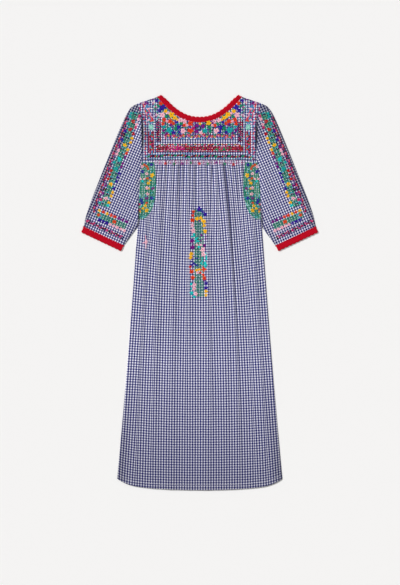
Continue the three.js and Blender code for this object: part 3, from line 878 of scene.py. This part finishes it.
# Narrow columns and rows beside the edges, the main crease and the armhole, as shares of the panel.
# Those beside the crease are in millimetres where the skirt is 210 wide from the middle.
EDGE_STEPS = np.array([0, 0.003, 0.007, 0.012, 0.018, 0.025, 0.034, 0.046])
CREASE_STEPS = np.array([-8, -5, -3, -1.5, -0.4, 0.4, 1.1, 1.8, 2.6, 3.4, 4.2, 5, 5.8, 7, 9.5]) / 210
ARMHOLE_STEPS = [
    0, 0.002, 0.004, 0.0055, 0.007, 0.0085, 0.01, 0.012, 0.015, 0.019, 0.024, 0.03, 0.038, 0.047, 0.058,
]


def edge_columns(count):
    """Even columns from -1 to 1, with a few narrow ones at both edges."""
    even = np.linspace(-1 + EDGE_STEPS[-1], 1 - EDGE_STEPS[-1], count)
    return np.concatenate([EDGE_STEPS[:-1] - 1, even, 1 - EDGE_STEPS[-2::-1]])


def panel(node, plan, height, cloth, shade):
    """A flat panel of check cotton: height, cloth and shade are functions of its plan."""
    x, y = plan
    top = height(x, y)
    piece = cloth_shell(f"{node}_cloth", x, y, top, top - CLOTH_THICKNESS, cloth(x, y), shade(x, y))
    return sew(piece, node, gingham)


def on_table(x, y):
    return CLOTH_THICKNESS + 0 * x


def straight_cloth(x, y):
    return x, y


def unshaded(x, y):
    return 1 + 0 * x


skirt_across = edge_columns(168)
skirt_across = skirt_across[np.abs(skirt_across - CREASE_COLUMN) > 0.05]
skirt_across = np.sort(np.concatenate([skirt_across, CREASE_COLUMN + CREASE_STEPS]))
skirt_rows = np.concatenate([
    np.linspace(YOKE_SEAM[1] - SEAM_GAP, 350, 26, endpoint=False),
    np.linspace(350, UNDERARM[1], 36, endpoint=False),
    np.linspace(UNDERARM[1], -500, 110, endpoint=False),
    np.linspace(-500, HEM_CORNER[1], 16),
])
back_rows = np.linspace(YOKE_SEAM[1], HEM_CORNER[1], 70)
front_skirt = panel(
    "front_skirt", skirt_plan(skirt_across, skirt_rows), skirt_height, skirt_cloth, skirt_shade,
)
back_skirt = panel("back_skirt", skirt_plan(edge_columns(60), back_rows), on_table, skirt_cloth, skirt_shade)
front_plan = yoke_plan(edge_columns(130), np.linspace(0, 1, 66))
front_yoke = panel("front_yoke", front_plan, yoke_height, straight_cloth, yoke_shade)
back_plan = yoke_plan(edge_columns(60), np.linspace(0, 1, 30))
back_yoke = panel("back_yoke", back_plan, on_table, straight_cloth, unshaded)

sleeve_down = np.concatenate([ARMHOLE_STEPS, np.linspace(0.07, 1, 68)])
sleeve_across = np.concatenate([[0, 0.004, 0.012], np.linspace(0.025, 0.975, 84), [0.988, 0.996, 1]])
x, y = sleeve_plan(sleeve_down, sleeve_across)
top = sleeve_height(sleeve_down, sleeve_across)
shade = sleeve_shade(sleeve_down, sleeve_across)
grain_u = x * math.cos(SLEEVE_GRAIN) + y * math.sin(SLEEVE_GRAIN)
grain_v = -x * math.sin(SLEEVE_GRAIN) + y * math.cos(SLEEVE_GRAIN)
sleeves = {}
for hand, side in (("left", 1), ("right", -1)):
    grain = (side * grain_u, grain_v)
    sleeve = tube_shell(f"sleeve_{hand}_cloth", side * x, y, top, 0 * top, CLOTH_THICKNESS, grain, shade)
    sleeves[hand] = sew(sleeve, f"sleeve_{hand}", gingham)

on_yoke = surface_of(front_yoke)
on_skirt = surface_of(front_skirt)
on_body = surface_of(front_yoke, front_skirt)
on_sleeves = surface_of(sleeves["left"], sleeves["right"])


# Embroidery. Sizes are for the +X half, and the other half is its mirror image unless said otherwise.

def spread(runs):
    """A list of colours from runs of a colour and how often it comes, such as red 2, green 1."""
    return [run.split()[0] for run in runs.split(", ") for _ in range(int(run.split()[1]))]


def at_random(colours, seed, times):
    """A list of so many of the colours, from a fixed seed."""
    random = np.random.default_rng(seed)
    return [colours[random.integers(len(colours))] for _ in range(times)]


EYES = {
    "yellow": "orange", "orange": "red", "red": "crimson", "pink": "rose", "rose": "crimson",
    "blue": "purple", "purple": "magenta", "turquoise": "green", "aqua": "turquoise",
    "green": "turquoise", "magenta": "ink",
}


def blossom(work, x, y, radius, colour, turn):
    """A five-petalled flower with the eye that goes with its colour."""
    work.flower(x, y, radius, colour, EYES.get(colour, "yellow"), 5, turn)


# Flowers under the neckline. The first lot is sewn on both sides, the second only where it says.
Bloom = namedtuple("Bloom", "x y radius colour")
NECK_BLOOMS = [Bloom(*row) for row in (
    (124, 558, 5.5, "blue"), (113, 549, 6.5, "orange"), (106, 538, 9, "blue"), (116, 530, 6, "blue"),
    (99, 527, 6.5, "yellow"), (92, 522, 5, "pink"), (108, 516, 8.5, "pink"), (82, 517, 9, "yellow"),
    (72, 508, 7.5, "yellow"), (64, 502, 5, "yellow"), (103, 502, 7.5, "orange"), (95, 498, 5, "pink"),
    (85, 498, 8, "orange"), (76, 491, 6, "orange"), (106, 490, 6, "orange"), (83, 487, 5.5, "purple"),
    (67, 495, 5.5, "blue"), (56, 501, 8, "pink"), (43, 498, 7, "pink"), (37, 486, 5, "pink"),
    (44, 486, 6.5, "orange"), (61, 481, 8, "blue"), (48, 470, 9, "pink"), (87, 472, 10, "turquoise"),
    (77, 466, 6, "blue"), (103, 482, 5.5, "turquoise"), (105, 471, 5, "purple"), (59, 467, 5.5, "blue"),
    (95, 463, 5, "purple"), (120, 543, 5, "green"), (97, 512, 6, "green"), (52, 491, 5, "green"),
    (70, 478, 6, "green"),
)]
MIDDLE_BLOOMS = [Bloom(*row) for row in (
    (1, 490, 5, "yellow"), (-27, 491, 9, "orange"), (26, 493, 8, "yellow"), (38, 495, 6, "purple"),
    (-8, 486, 7.5, "purple"), (9, 484, 7.5, "purple"), (-18, 478, 6, "magenta"),
    (16, 471, 8.5, "turquoise"), (-27, 470, 9, "orange"), (-9, 468, 8, "purple"), (4, 464, 6.5, "pink"),
    (28, 481, 6, "green"), (31, 469, 6, "green"),
)]
YOKE_FIELD_BOTTOM = 460.5
YOKE_FIELD_SIDE = 110


def in_yoke_field(x, y):
    sides = YOKE_FIELD_SIDE + 14 * smooth(y, 515, 550)
    return abs(x) < sides and y > YOKE_FIELD_BOTTOM and y < neckline_y(x) - 4.5


def yoke_flowers():
    work = Needlework()
    random = np.random.default_rng(4)
    blooms = MIDDLE_BLOOMS + NECK_BLOOMS + [bloom._replace(x=-bloom.x) for bloom in NECK_BLOOMS]
    for bloom in blooms:
        blossom(work, *bloom, random.uniform(0, 1.2))
    centres = np.array([(bloom.x, bloom.y) for bloom in blooms])
    reach = np.array([bloom.radius for bloom in blooms])
    fill = ["green"] * 6 + ["ink", "ink", "ink", "turquoise", "purple", "blue", "blue"]
    for x in np.arange(-YOKE_FIELD_SIDE - 12, YOKE_FIELD_SIDE + 13, 3.8):
        for y in np.arange(YOKE_FIELD_BOTTOM + 1, NECK_CORNER[1], 3.8):
            px, py = x + random.uniform(-1.5, 1.5), y + random.uniform(-1.5, 1.5)
            clear = (np.hypot(*(centres - (px, py)).T) - 0.75 * reach).min()
            if in_yoke_field(px, py) and clear > 0 and random.uniform() < 0.94:
                angle, length = random.uniform(0, math.pi), random.uniform(5.5, 8)
                work.leaf(px, py, angle, length, fill[random.integers(len(fill))])
    return work


def yoke_bands():
    work = Needlework()
    many = spread("crimson 3, orange 3, green 3, rose 2, orange 2, purple 2, green 2")
    work.row([(-103, 457), (103, 457)], 2.5, 6.8, (0.9, -0.9), many, 0.8, 2.2, 50)
    pale = ["pink", "rose", "rose", "green", "yellow", "orange", "blue", "purple"]
    work.row([(-103, 453), (103, 453)], 2.8, 6.0, (-0.9, 0.9), pale, 0.9, 2.2, 50)
    mostly_sky = at_random(["sky", "sky", "sky", "rose", "white"], 22, 36)
    work.run([(-101, 448), (101, 448)], 5.6, 5.6, 4.2, mostly_sky)
    # The crimson band: crossed leaves around small dark hearts, with two magenta stretches and a green one
    random = np.random.default_rng(7)
    for k, x in enumerate(np.linspace(-121, 121, 25)):
        main = "magenta" if -82 < x < -44 or 56 < x < 74 else "crimson"
        in_green = 46 < x < 84
        heart = "green" if in_green else ["ink", "green", "ink", "rose"][k % 4]
        outer = "green" if in_green and k % 2 else main
        for lean in (0.7, -0.7):
            work.stitch(x - 2.6 * np.sign(lean), 416, lean, 10, 5.4, outer, 0.85, 0.35)
            work.stitch(x + 2.6 * np.sign(lean), 423, lean, 10, 5.4, main, 0.85, 0.35)
        work.stitch(x + 4.8, 419.5, 1.57, 9, 4.0, main, 0.8, 0.35)
        work.stitch(x, 419.5, 1.57, 7, 4.2, heart, 1.2, 0.5)
        for _ in range(6):
            fleck = ["rose", "ink", "green", "ink", "orange", "pink"][random.integers(6)]
            px, py = x + random.uniform(-5, 5), 420 + random.uniform(-8, 8)
            work.stitch(px, py, random.uniform(0, math.pi), 5.2, 3.2, fleck, 1.3, 0.5)
    edge_x = np.linspace(-127, 127, 120)
    edge_y = 424 + 5.5 * smooth(126 - np.abs(edge_x), 0, 20) + 1.6 * np.abs(np.sin(math.pi * edge_x / 25))
    edge_colours = spread("crimson 3, orange 2, green 3, rose 2, ink 2, yellow 1")
    work.row(np.stack([edge_x, edge_y], -1), 3.0, 4.2, (0.8, -0.8), edge_colours, 0.9)
    base_colours = spread("crimson 5, rose 2, ink 1, crimson 3, green 1")
    work.row([(-127, 410.4), (127, 410.4)], 3.0, 3.6, (0.8, -0.8), base_colours, 0.9)
    # The rope over the skirt's seam
    rope = [(-152, 395), (-110, 398), (-75, 400), (-30, 396), (20, 397), (70, 396), (110, 396), (152, 395)]
    strands = spread("green 3, crimson 2, ink 3, orange 1, green 2, rose 1, ink 2")
    work.row(rope, 2.8, 8.0, [0.85], strands, 1.0, 1.3, 44)
    work.run([(-150, 402), (-20, 404), (40, 403)], 8.4, 6.4, 3.0, ["sky"])
    work.run([(-152, 388.8), (-60, 391), (60, 390), (152, 388.8)], 8.4, 6.4, 3.0, ["sky", "sky", "turquoise"])
    return work


def yoke_sides():
    work = Needlework()
    chain_colours = spread("rose 3, sky 2, crimson 2, pink 1, blue 1, orange 2, sky 1")
    chain = [(174, 538), (160, 505), (157, 480), (157, 386)]
    work.row(chain, 3.6, 4.2, (0.7, -0.7), chain_colours, 0.7, 2.2, 30)
    for x in (147.4, 133.6):
        work.row([(x, 469), (x, 406)], 3.2, 4.0, (0.9, -0.9), ["crimson", "crimson", "red"], 0.8)
    ladder = spread("crimson 2, green 1, orange 1, sky 2, crimson 1, ink 1, rose 1")
    for k in range(15):
        y = 466 - 4.2 * k
        lean = 0.8 if k // 3 % 2 else -0.8
        work.stitch(138.4, y, lean, 8.5, 4.2, ladder[k % 9], 0.9, 0.45)
        work.stitch(143.0, y - 2, lean, 8, 4.0, ladder[(k + 4) % 9], 0.9, 0.45)
    work.flower(140.8, 481, 9.5, "mint", "white", 8, 0.2)
    random = np.random.default_rng(12)
    for k in range(13):
        share = k / 12
        x, y = 141 + 17 * share ** 1.2, 493 + 60 * share
        for step in (-2, -1, 0, 1, 2):
            colour = ["shell", "orange", "sky", "rose", "green", "pink", "purple", "sky"][random.integers(8)]
            work.stitch(x + 3.5 * step, y - 1.1 * step, 1.1 + 0.3 * step, 7.6, 3.4, colour, 0.8, 0.5)
    work.run([(141, 552), (131, 515), (129, 480), (129, 407)], 7.2, 4.2, 2.0, ["sky", "sky", "white"])
    dark = spread("ink 2, crimson 3, ink 1, rose 1, green 1, purple 1")
    for k, x in enumerate((124, 119, 114)):
        work.row([(x, 500 - 2 * k), (x, 439)], 3.2, 6.6, (0.9, -0.9), dark[3 * k:] + dark[:3 * k], 0.8)
    for k in range(12):
        x, y = 118 + 1.15 * k, 503 + 4.5 * k
        colours = ["rose", "green", "mint", "pink", "green", "sky", "purple", "green"]
        work.stitch(x, y, 0.5, 6.4, 3.4, colours[k % 8], 0.8, 0.5)
        work.stitch(x + 5, y, -0.5, 6, 3.2, colours[(3 * k + 2) % 8], 0.8, 0.5)
    shoulder = [(122, 566), (150, 557), (175, 547.5)]
    work.row(shoulder, 3.2, 3.4, (0.8, -0.8), ["crimson", "green", "ink", "purple", "crimson", "blue"], 0.7)
    work.mirrored()
    return work


def smocking_threads():
    """Pink threads that hold the tucks under the yoke, with a row of small figures over them."""
    work = Needlework()
    for k, y in enumerate((383, 378.5, 374)):
        start = -SMOCKING_HALF_WIDTH + 2 * (k % 2)
        line = [(start, y), (SMOCKING_HALF_WIDTH, y)]
        work.row(line, 3.98, 2.0, (0.5, -0.5), ["shell", "shell", "white", "rose"], 0.5)
    colours = ["orange", "green", "purple", "green", "orange", "green", "purple", "green", "orange"]
    for k, colour in enumerate(colours):
        x = -99 + 24.6 * k
        y = 375.5 + 2 * math.cos(2.1 * k) - 2 * (k in (0, 8))
        work.stitch(x, y, 1.57, 6.4, 4.0, colour, 1.1, 0.5)
        work.stitch(x, y + 3.4, 1.57, 3.4, 3.0, colour, 1.2, 0.5)
        for side in (1, -1):
            work.stitch(x + 3.0 * side, y + 1.0, 0.5 * side, 5.4, 2.4, colour, 0.9, 0.5)
            work.stitch(x + 2.4 * side, y - 3.0, -0.9 * side, 4.2, 2.2, colour, 0.9, 0.5)
    return work


ARMHOLE_TOP = 376.5
ARMHOLE_ROWS = 38
ARMHOLE_ROW_PITCH = 4.35
ARMHOLE_COLUMN_PITCH = 4.7
ARMHOLE_BLOOMS = [Bloom(*row) for row in (
    (140, 372, 6, "blue"), (160, 372, 4.5, "orange"), (154, 367, 4.5, "orange"),
    (149, 360, 4.5, "orange"), (155, 376, 3.5, "blue"), (166, 366, 5, "pink"), (166, 352, 6, "blue"),
    (153, 346, 5.5, "pink"), (138, 341, 7, "yellow"), (151, 332, 4.5, "orange"),
    (145, 335, 3.5, "blue"), (144, 326, 4, "yellow"), (149, 318, 5.5, "yellow"), (152, 304, 6, "pink"),
    (147, 303, 3.5, "yellow"), (136, 303, 5.5, "purple"), (151, 287, 5.5, "pink"),
    (153, 275, 6, "purple"), (139, 275, 6.5, "blue"), (170, 270, 6, "blue"), (167, 263, 6, "blue"),
    (174, 257, 4, "rose"), (154, 261, 4, "orange"), (157, 253, 5, "yellow"), (164, 245, 4.5, "yellow"),
    (174, 241, 4, "rose"), (154, 240, 6.5, "yellow"), (172, 236, 3.5, "yellow"),
)]


def armhole_panel_edge(y):
    """How far from the middle the armhole panel's inner edge lies."""
    reach = (y - 312) / (100 if y < 312 else 130)
    return 178 - 51.5 * max(1 - abs(reach) ** 2.2, 0) ** (1 / 2.2)


def armhole_panels():
    work = Needlework()
    random = np.random.default_rng(9)
    for k in range(ARMHOLE_ROWS):
        y = ARMHOLE_TOP - ARMHOLE_ROW_PITCH * k
        inner = armhole_panel_edge(y) + 2.2
        outer = float(skirt_half_width(np.array([y]))[0]) - 3.0
        columns = max(1, round((outer - inner) / ARMHOLE_COLUMN_PITCH))
        for c in range(columns + 1):
            x = inner + (outer - inner) * c / columns
            tone = "mint" if random.uniform() < 0.05 else "turquoise" if random.uniform() < 0.1 else "green"
            work.stitch(x, y, (0.95 if c % 2 else -0.95), 6.6, 3.5, tone, 0.6, 0.35)
    for k, bloom in enumerate(ARMHOLE_BLOOMS):
        blossom(work, *bloom, 0.4 * k)
    bow(work, 165.5, 328)
    work.mirrored()
    return work


def bow(work, x, y):
    """Two pink wings that meet on a turquoise knot."""
    for side in (1, -1):
        work.stitch(x + 5.2 * side, y + 2.6, 0.45 * side, 9.6, 6.4, "pink", 1.2, 0.5)
    work.stitch(x, y - 3.6, 1.57, 8.0, 6.6, "aqua", 1.3, 0.45)


# The panel down the front: two ladders of leaves with flowers and sprays on both flanks
PANEL_TOP = 240
PANEL_BOTTOM = -14
PANEL_COLUMNS = (-13, -7.6, -2, 3.6, 9.2)
LEAF_PITCH = 4.6
LEAF_SPACING = 4.8
PANEL_BLOOMS = [Bloom(*row) for row in (
    (-1, 242, 9, "blue"), (8, 236, 5, "blue"), (15, 228, 7, "blue"), (-18, 236, 5.5, "orange"),
    (-20, 225, 5.5, "orange"), (-21, 211, 7, "orange"), (-8, 215, 6.5, "yellow"), (3, 217, 6, "yellow"),
    (11, 208, 7.5, "yellow"), (13, 196, 5.5, "yellow"), (16, 179, 7, "yellow"), (-21, 196, 6, "pink"),
    (-18, 181, 8, "pink"), (14, 138, 5.5, "purple"), (-23, 150, 7, "purple"), (-20, 133, 8, "purple"),
    (9, 126, 7.5, "pink"), (11, 112, 7.5, "pink"), (-24, 114, 6.5, "yellow"), (-25, 103, 6.5, "yellow"),
    (-27, 76, 5, "red"), (-23, 62, 7, "orange"), (-20, 45, 7, "orange"), (12, 69, 7.5, "orange"),
    (2, 59, 4, "orange"), (10, 53, 5, "orange"), (13, 43, 6.5, "orange"), (-9, 66, 5, "yellow"),
    (-1, 68, 5, "yellow"), (-6, 59, 5, "pink"), (-16, 24, 7, "pink"), (-16, 13, 7, "pink"),
    (-11, -2, 7, "pink"), (-23, 0, 6, "aqua"), (-16, -11, 5, "aqua"), (18, 29, 5.5, "blue"),
    (18, 15, 6.5, "blue"), (18, 5, 6, "yellow"), (18, -6, 5, "yellow"),
)]
# Sprays of loose leaves, as a middle, half width, half height, number and colour
Spray = namedtuple("Spray", "x y half_width half_height count colour")
SPRAYS = [Spray(*row) for row in (
    (-18, 166, 5, 7, 7, "aqua"), (-8, 153, 5, 7, 7, "aqua"), (10, 159, 9, 12, 9, "purple"),
    (-15, 90, 9, 15, 15, "blue"), (11, 88, 10, 16, 15, "aqua"), (-24, 22, 2, 12, 6, "aqua"),
    (19, 100, 2, 22, 6, "aqua"), (-2, 208, 4, 2, 3, "purple"), (12, 37, 3, 2, 2, "purple"),
)]


def centre_panel():
    work = Needlework()
    random = np.random.default_rng(17)
    blooms = np.array([(bloom.x, bloom.y) for bloom in PANEL_BLOOMS])
    for k in range(round((PANEL_TOP - PANEL_BOTTOM) / LEAF_PITCH)):
        y = PANEL_TOP - LEAF_PITCH * k
        for c, x in enumerate(PANEL_COLUMNS):
            if np.hypot(*(blooms - (x, y)).T).min() > 4:
                slant = (0.75 if c % 2 else -0.75) + random.uniform(-0.2, 0.2)
                work.leaf(x + random.uniform(-0.6, 0.6), y, slant, 7.4)
    for spray in SPRAYS:
        for _ in range(spray.count):
            x = spray.x + random.uniform(-1, 1) * spray.half_width
            y = spray.y + random.uniform(-1, 1) * spray.half_height
            work.stitch(x, y, random.uniform(0, math.pi), 6.4, 4.4, spray.colour, 1.1, 0.5)
    for bloom in PANEL_BLOOMS:
        blossom(work, *bloom, random.uniform(0, 1.2))
    bow(work, -2.3, 137)
    return work


def small_bird():
    """A pink bird in flight, on one side only."""
    work = Needlework()
    for x, y, angle, length, width in (
        (-156.8, 162, 1.62, 15, 2.6), (-155.4, 148, 1.5, 18, 7.4), (-156, 134, 1.52, 14, 3.0),
        (-161.5, 146, 0.3, 10, 3.4), (-152.6, 149, 2.3, 8, 3.4),
    ):
        work.stitch(x, y, angle, length, width, "pink", 0.9, 0.6)
    return work


SLEEVE_BAND = [(185, 521), (209.7, 448), (238, 371), (263.9, 296), (280, 252)]
SLEEVE_LINE = [(212, 510.4), (224.8, 464.6), (249.4, 406.3), (266.2, 364.8), (284.2, 306.5), (309.1, 234.6)]
# Blocks of leaves down the sleeve band, as the distances where each starts and ends, the flowers toward the
# sleeve's fold, the flowers toward the body, and one below
Block = namedtuple("Block", "start end outer inner knot")
SLEEVE_BLOCKS = [
    Block(0, 19, ["turquoise", "turquoise"], ["rose", "pink"], "red"),
    Block(26, 44, ["turquoise"], ["pink", "rose"], "red"),
    Block(52, 92, ["blue", "ink", "blue"], ["red", "yellow", "yellow"], "yellow"),
    Block(101, 136, ["purple", "pink", "pink"], ["yellow", "orange", "purple"], "aqua"),
    Block(144, 166, ["turquoise"], ["purple", "purple"], "turquoise"),
    Block(174, 212, ["red", "red", "red"], ["blue", "blue", "blue"], "yellow"),
    Block(221, 256, ["purple", "ink", "purple"], ["blue", "yellow", "yellow"], "pink"),
    Block(265, 284, ["rose", "turquoise"], ["yellow", "aqua"], None),
]
CUFF_ROWS = [
    ((290, 239), (212, 206.8), "yellow 1, orange 1, yellow 1, orange 2, purple 3"),
    ((290, 212), (218, 181), "blue 3, pink 5"),
]
CUFF_LEAVES = ((297, 228), (216, 193))
CUFF_TWIST = [(329, 210), (222, 160)]


def sleeve_embroidery():
    work = Needlework()
    band = smooth_line(SLEEVE_BAND, 200)
    length = length_of(band)
    for k, block in enumerate(SLEEVE_BLOCKS):
        centre, ahead = along(band, np.clip([block.start / length, block.end / length], 0, 1))
        down = math.atan2(ahead[1] - centre[1], ahead[0] - centre[0])
        reach = block.end - block.start
        for r in range(round(reach / LEAF_PITCH) + 1):
            for column in (-1.5, -0.5, 0.5, 1.5):
                x, y = beside(centre, down, LEAF_PITCH * r, column * LEAF_SPACING)
                tone = {0: "turquoise", 3: "ink"}.get((3 * r + round(column + k)) % 7, "green")
                work.leaf(x, y, down + (0.85 if column in (-1.5, 0.5) else -0.85), 8.0, tone)
        for outward, colours in ((12.4, block.outer), (-12.4, block.inner)):
            for j, colour in enumerate(colours):
                x, y = beside(centre, down, (j + 0.5) / len(colours) * reach, outward)
                blossom(work, x, y, 5.2, colour, 0.6 * (j + k))
        if block.knot:
            blossom(work, *beside(centre, down, reach + 5.5, 0), 6.6, block.knot, 0.4 * k)
    for start, end, runs in CUFF_ROWS:
        colours = spread(runs)
        for j, colour in enumerate(colours):
            x, y = along([start, end], [j / (len(colours) - 1)])[0]
            blossom(work, x, y, 5.3, colour, 0.5 * j)
    leaves = along(CUFF_LEAVES, np.linspace(0, 1, 21))
    lie = math.atan2(-35, -81)
    for j, place in enumerate(leaves):
        tone = "turquoise" if j in (2, 3) else "green"
        for side in (-1.5, -0.5, 0.5, 1.5):
            slant = 0.95 if side in (-1.5, 0.5) else -0.95
            work.stitch(*beside(place, lie, 0, side * 4.2), lie + slant, 6.0, 3.2, tone, 0.6, 0.35)
    blossom(work, *along(CUFF_LEAVES, [0.61])[0], 7.0, "orange", 0.3)
    blossom(work, *along(CUFF_LEAVES, [0.06])[0], 6.0, "orange", 0.9)
    line_colours = spread("crimson 2, ink 2, rose 2, orange 1, ink 1")
    work.row(SLEEVE_LINE, 3.0, 5.8, (0.8, -0.8), line_colours, 0.7, 1.2, 21)
    inner_line = [(x - 4.2, y - 1.5) for x, y in SLEEVE_LINE]
    work.row(inner_line, 5.0, 4.0, (0.9, -0.9), ["purple", "ink", "rose", "purple"], 0.6, 1.5, 17)
    work.row(CUFF_TWIST, 3.0, 6.6, (0.8, -0.8), spread("rose 2, ink 2, crimson 2, ink 1"), 0.7, 3.4, 34)
    work.row(CUFF_TWIST, 3.0, 5.6, (0.8, -0.8), spread("purple 1, rose 2, ink 2"), 0.7, -3.4, 34)
    work.mirrored()
    return work


def hem_stitches():
    """The row that holds the hem's turned edge."""
    work = Needlework()
    x = np.linspace(-HEM_CORNER[0] + 8, HEM_CORNER[0] - 8, 120)
    work.run(np.stack([x, hem_y(x) + HEM_TURN - 0.3], -1), 5.0, 3.4, 0.9, ["white"], 0.35)
    return work


yoke_flowers().build("yoke_flowers", on_yoke)
yoke_bands().build("yoke_bands", on_body)
yoke_sides().build("yoke_side_bands", on_body)
smocking_threads().build("smocking_threads", on_skirt)
armhole_panels().build("armhole_panels", on_skirt)
centre_panel().build("centre_panel", on_skirt)
small_bird().build("small_bird", on_skirt)
sleeve_embroidery().build("sleeve_bands", on_sleeves)
hem_stitches().build("hem_stitches", on_skirt)


# Crochet edgings

def crochet_edging(node, cloth, start, out, width, scallops):
    """A band worked in rows of stitches: start is the sewn edge, out points across to the scallops.

    Its first row goes over the edge of the cloth."""
    steps = len(start) - 1
    depth = np.array([0, 0.12, 0.5, 0.88, 1.0])[:, None]
    rise = SCALLOP_RISE * np.abs(np.sin(math.pi * scallops * np.linspace(0, 1, steps + 1)))
    across = SEAM_GAP + depth * (width - SCALLOP_RISE + rise - SEAM_GAP)
    x, y = start[:, 0] + out[:, 0] * across, start[:, 1] + out[:, 1] * across
    top = EDGING_HEIGHT * np.array([0.75, 0.95, 1.0, 0.95, 0.7])[:, None] + 0 * x
    band = tube_shell(f"{node}_crochet", x, y, top, 0 * x, EDGING_WALL, (x, y), 1 + 0 * x)
    sew(band, node, yarns["crochet"])

    def edge_at(share):
        """The point of the sewn edge at a share of it, the last step before it and how far past that."""
        k, rest = divmod(share * steps, 1)
        k = int(k)
        return start[k] * (1 - rest) + start[k + 1] * rest, k, rest

    loops = Needlework()
    a_row = round(length_of(start) / EDGING_STITCH)
    for k in range(a_row + 1):
        i = round(k / a_row * steps)
        heading = math.atan2(out[i][1], out[i][0])
        loops.stitch(*(start[i] - 1.2 * out[i]), heading, 4.6, EDGING_STITCH * 1.15, "crochet", 0.8, 0.2)
    for row in range(EDGING_ROWS):
        for share in (np.arange(a_row) + 0.5 + 0.25 * (row % 2)) / (a_row + 0.5):
            base, k, rest = edge_at(share)
            toward = out[k] * (1 - rest) + out[k + 1] * rest
            aside = np.array([-toward[1], toward[0]])
            heading = math.atan2(toward[1], toward[0])
            reach = SEAM_GAP + (width[k] - SCALLOP_RISE - 2.2) * (row + 0.5) / EDGING_ROWS
            length = (width[k] - 4) / EDGING_ROWS * 1.15
            for lean in (0.5, -0.5):
                place = base + toward * reach + aside * 0.5 * lean * EDGING_STITCH
                loops.stitch(*place, heading + lean, length, EDGING_STITCH * 0.55, "crochet", 0.6, 0.5)
    for s in range(scallops):
        for petal in range(-2, 3):
            base, k, _ = edge_at((s + 0.5 + petal * 0.16) / scallops)
            fan = petal * 0.42
            heading = math.atan2(out[k][1], out[k][0]) + fan * 0.8
            reach = width[k] - SCALLOP_RISE - 1.2 + 0.9 * math.cos(fan * 1.3)
            loops.stitch(*(base + out[k] * reach), heading, 3.6, 2.1, "crochet", 0.7, 0.45)
    loops.build(f"{node}_crochet_stitches", surface_of(band, cloth), 0.0, "red_crochet")


neck_share = np.linspace(0, 1, NECK_SCALLOPS * SCALLOP_STEPS + 1)
neck_across = np.linspace(-1, 1, len(neck_share))
neck_start = neckline(neck_across * (1.2 - 0.2 * neck_across ** 2))
tangent = unit(np.gradient(neck_start, axis=0))
neck_out = np.stack([-tangent[:, 1], tangent[:, 0]], -1)
fuller = smooth(np.minimum(neck_share, 1 - neck_share), 0, NECK_EDGING_TAPER)
neck_width = NECK_EDGING_END + (NECK_EDGING - NECK_EDGING_END) * fuller
crochet_edging("neck_edging", front_yoke, neck_start, neck_out, neck_width, NECK_SCALLOPS)

cuff_share = np.linspace(0, 1, CUFF_SCALLOPS * SCALLOP_STEPS + 1)[:, None]
cuff_start = CUFF_OUTER * (1 - cuff_share) + CUFF_INNER * cuff_share
along_cuff = unit(CUFF_OUTER - CUFF_INNER)
cuff_out = np.array([along_cuff[1], -along_cuff[0]]) + 0 * cuff_start
cuff_width = CUFF_EDGING + 0 * cuff_share[:, 0]
for hand, side in (("left", 1), ("right", -1)):
    flip = np.array([side, 1])
    start, out = cuff_start * flip, cuff_out * flip
    crochet_edging(f"cuff_edging_{hand}", sleeves[hand], start, out, cuff_width, CUFF_SCALLOPS)


# Floor, light and camera

FLOOR_HALF = 30000
FLOOR_DROP = 0.4  # keeps the floor's face clear of the cloth's
corners = [(x * FLOOR_HALF, y * FLOOR_HALF, 0) for x, y in ((-1, -1), (1, -1), (1, 1), (-1, 1))]
floor = mesh_object("floor", corners, [(0, 1, 2, 3)], smooth_faces=False)
floor.location.z = -FLOOR_DROP * MM
floor.data.materials.append(painted_board())


def sun(name, direction, strength, softness):
    light = bpy.data.lights.new(name, "SUN")
    light.energy = strength
    light.angle = math.radians(softness)
    lamp = bpy.data.objects.new(name, light)
    lamp.rotation_euler = Vector(direction).to_track_quat("Z", "Y").to_euler()
    bpy.context.scene.collection.objects.link(lamp)


sun("window_light", direction=(-0.8, 0.55, 0.85), strength=2.62, softness=10)
sun("fill_light", direction=(0.4, -0.3, 1.2), strength=0.42, softness=60)
world = bpy.data.worlds.new("studio")
world.use_nodes = True
background = world.node_tree.nodes["Background"]
feed(world.node_tree, background, {"Color": (1, 1, 1, 1), "Strength": 0.28})
bpy.context.scene.world = world
bpy.context.scene.view_settings.view_transform = "Standard"

PIXEL = 2.9  # millimetres that one pixel of the photograph covers
PHOTO_HEIGHT = 585
CAMERA_HEIGHT = 6.0
camera_data = bpy.data.cameras.new("camera")
camera_data.sensor_width = 36
camera_data.lens = camera_data.sensor_width * CAMERA_HEIGHT / (PHOTO_HEIGHT * PIXEL * MM)
camera = bpy.data.objects.new("camera", camera_data)
camera.location = (0.0009, 0.0015, CAMERA_HEIGHT)
bpy.context.scene.collection.objects.link(camera)
bpy.context.scene.camera = camera
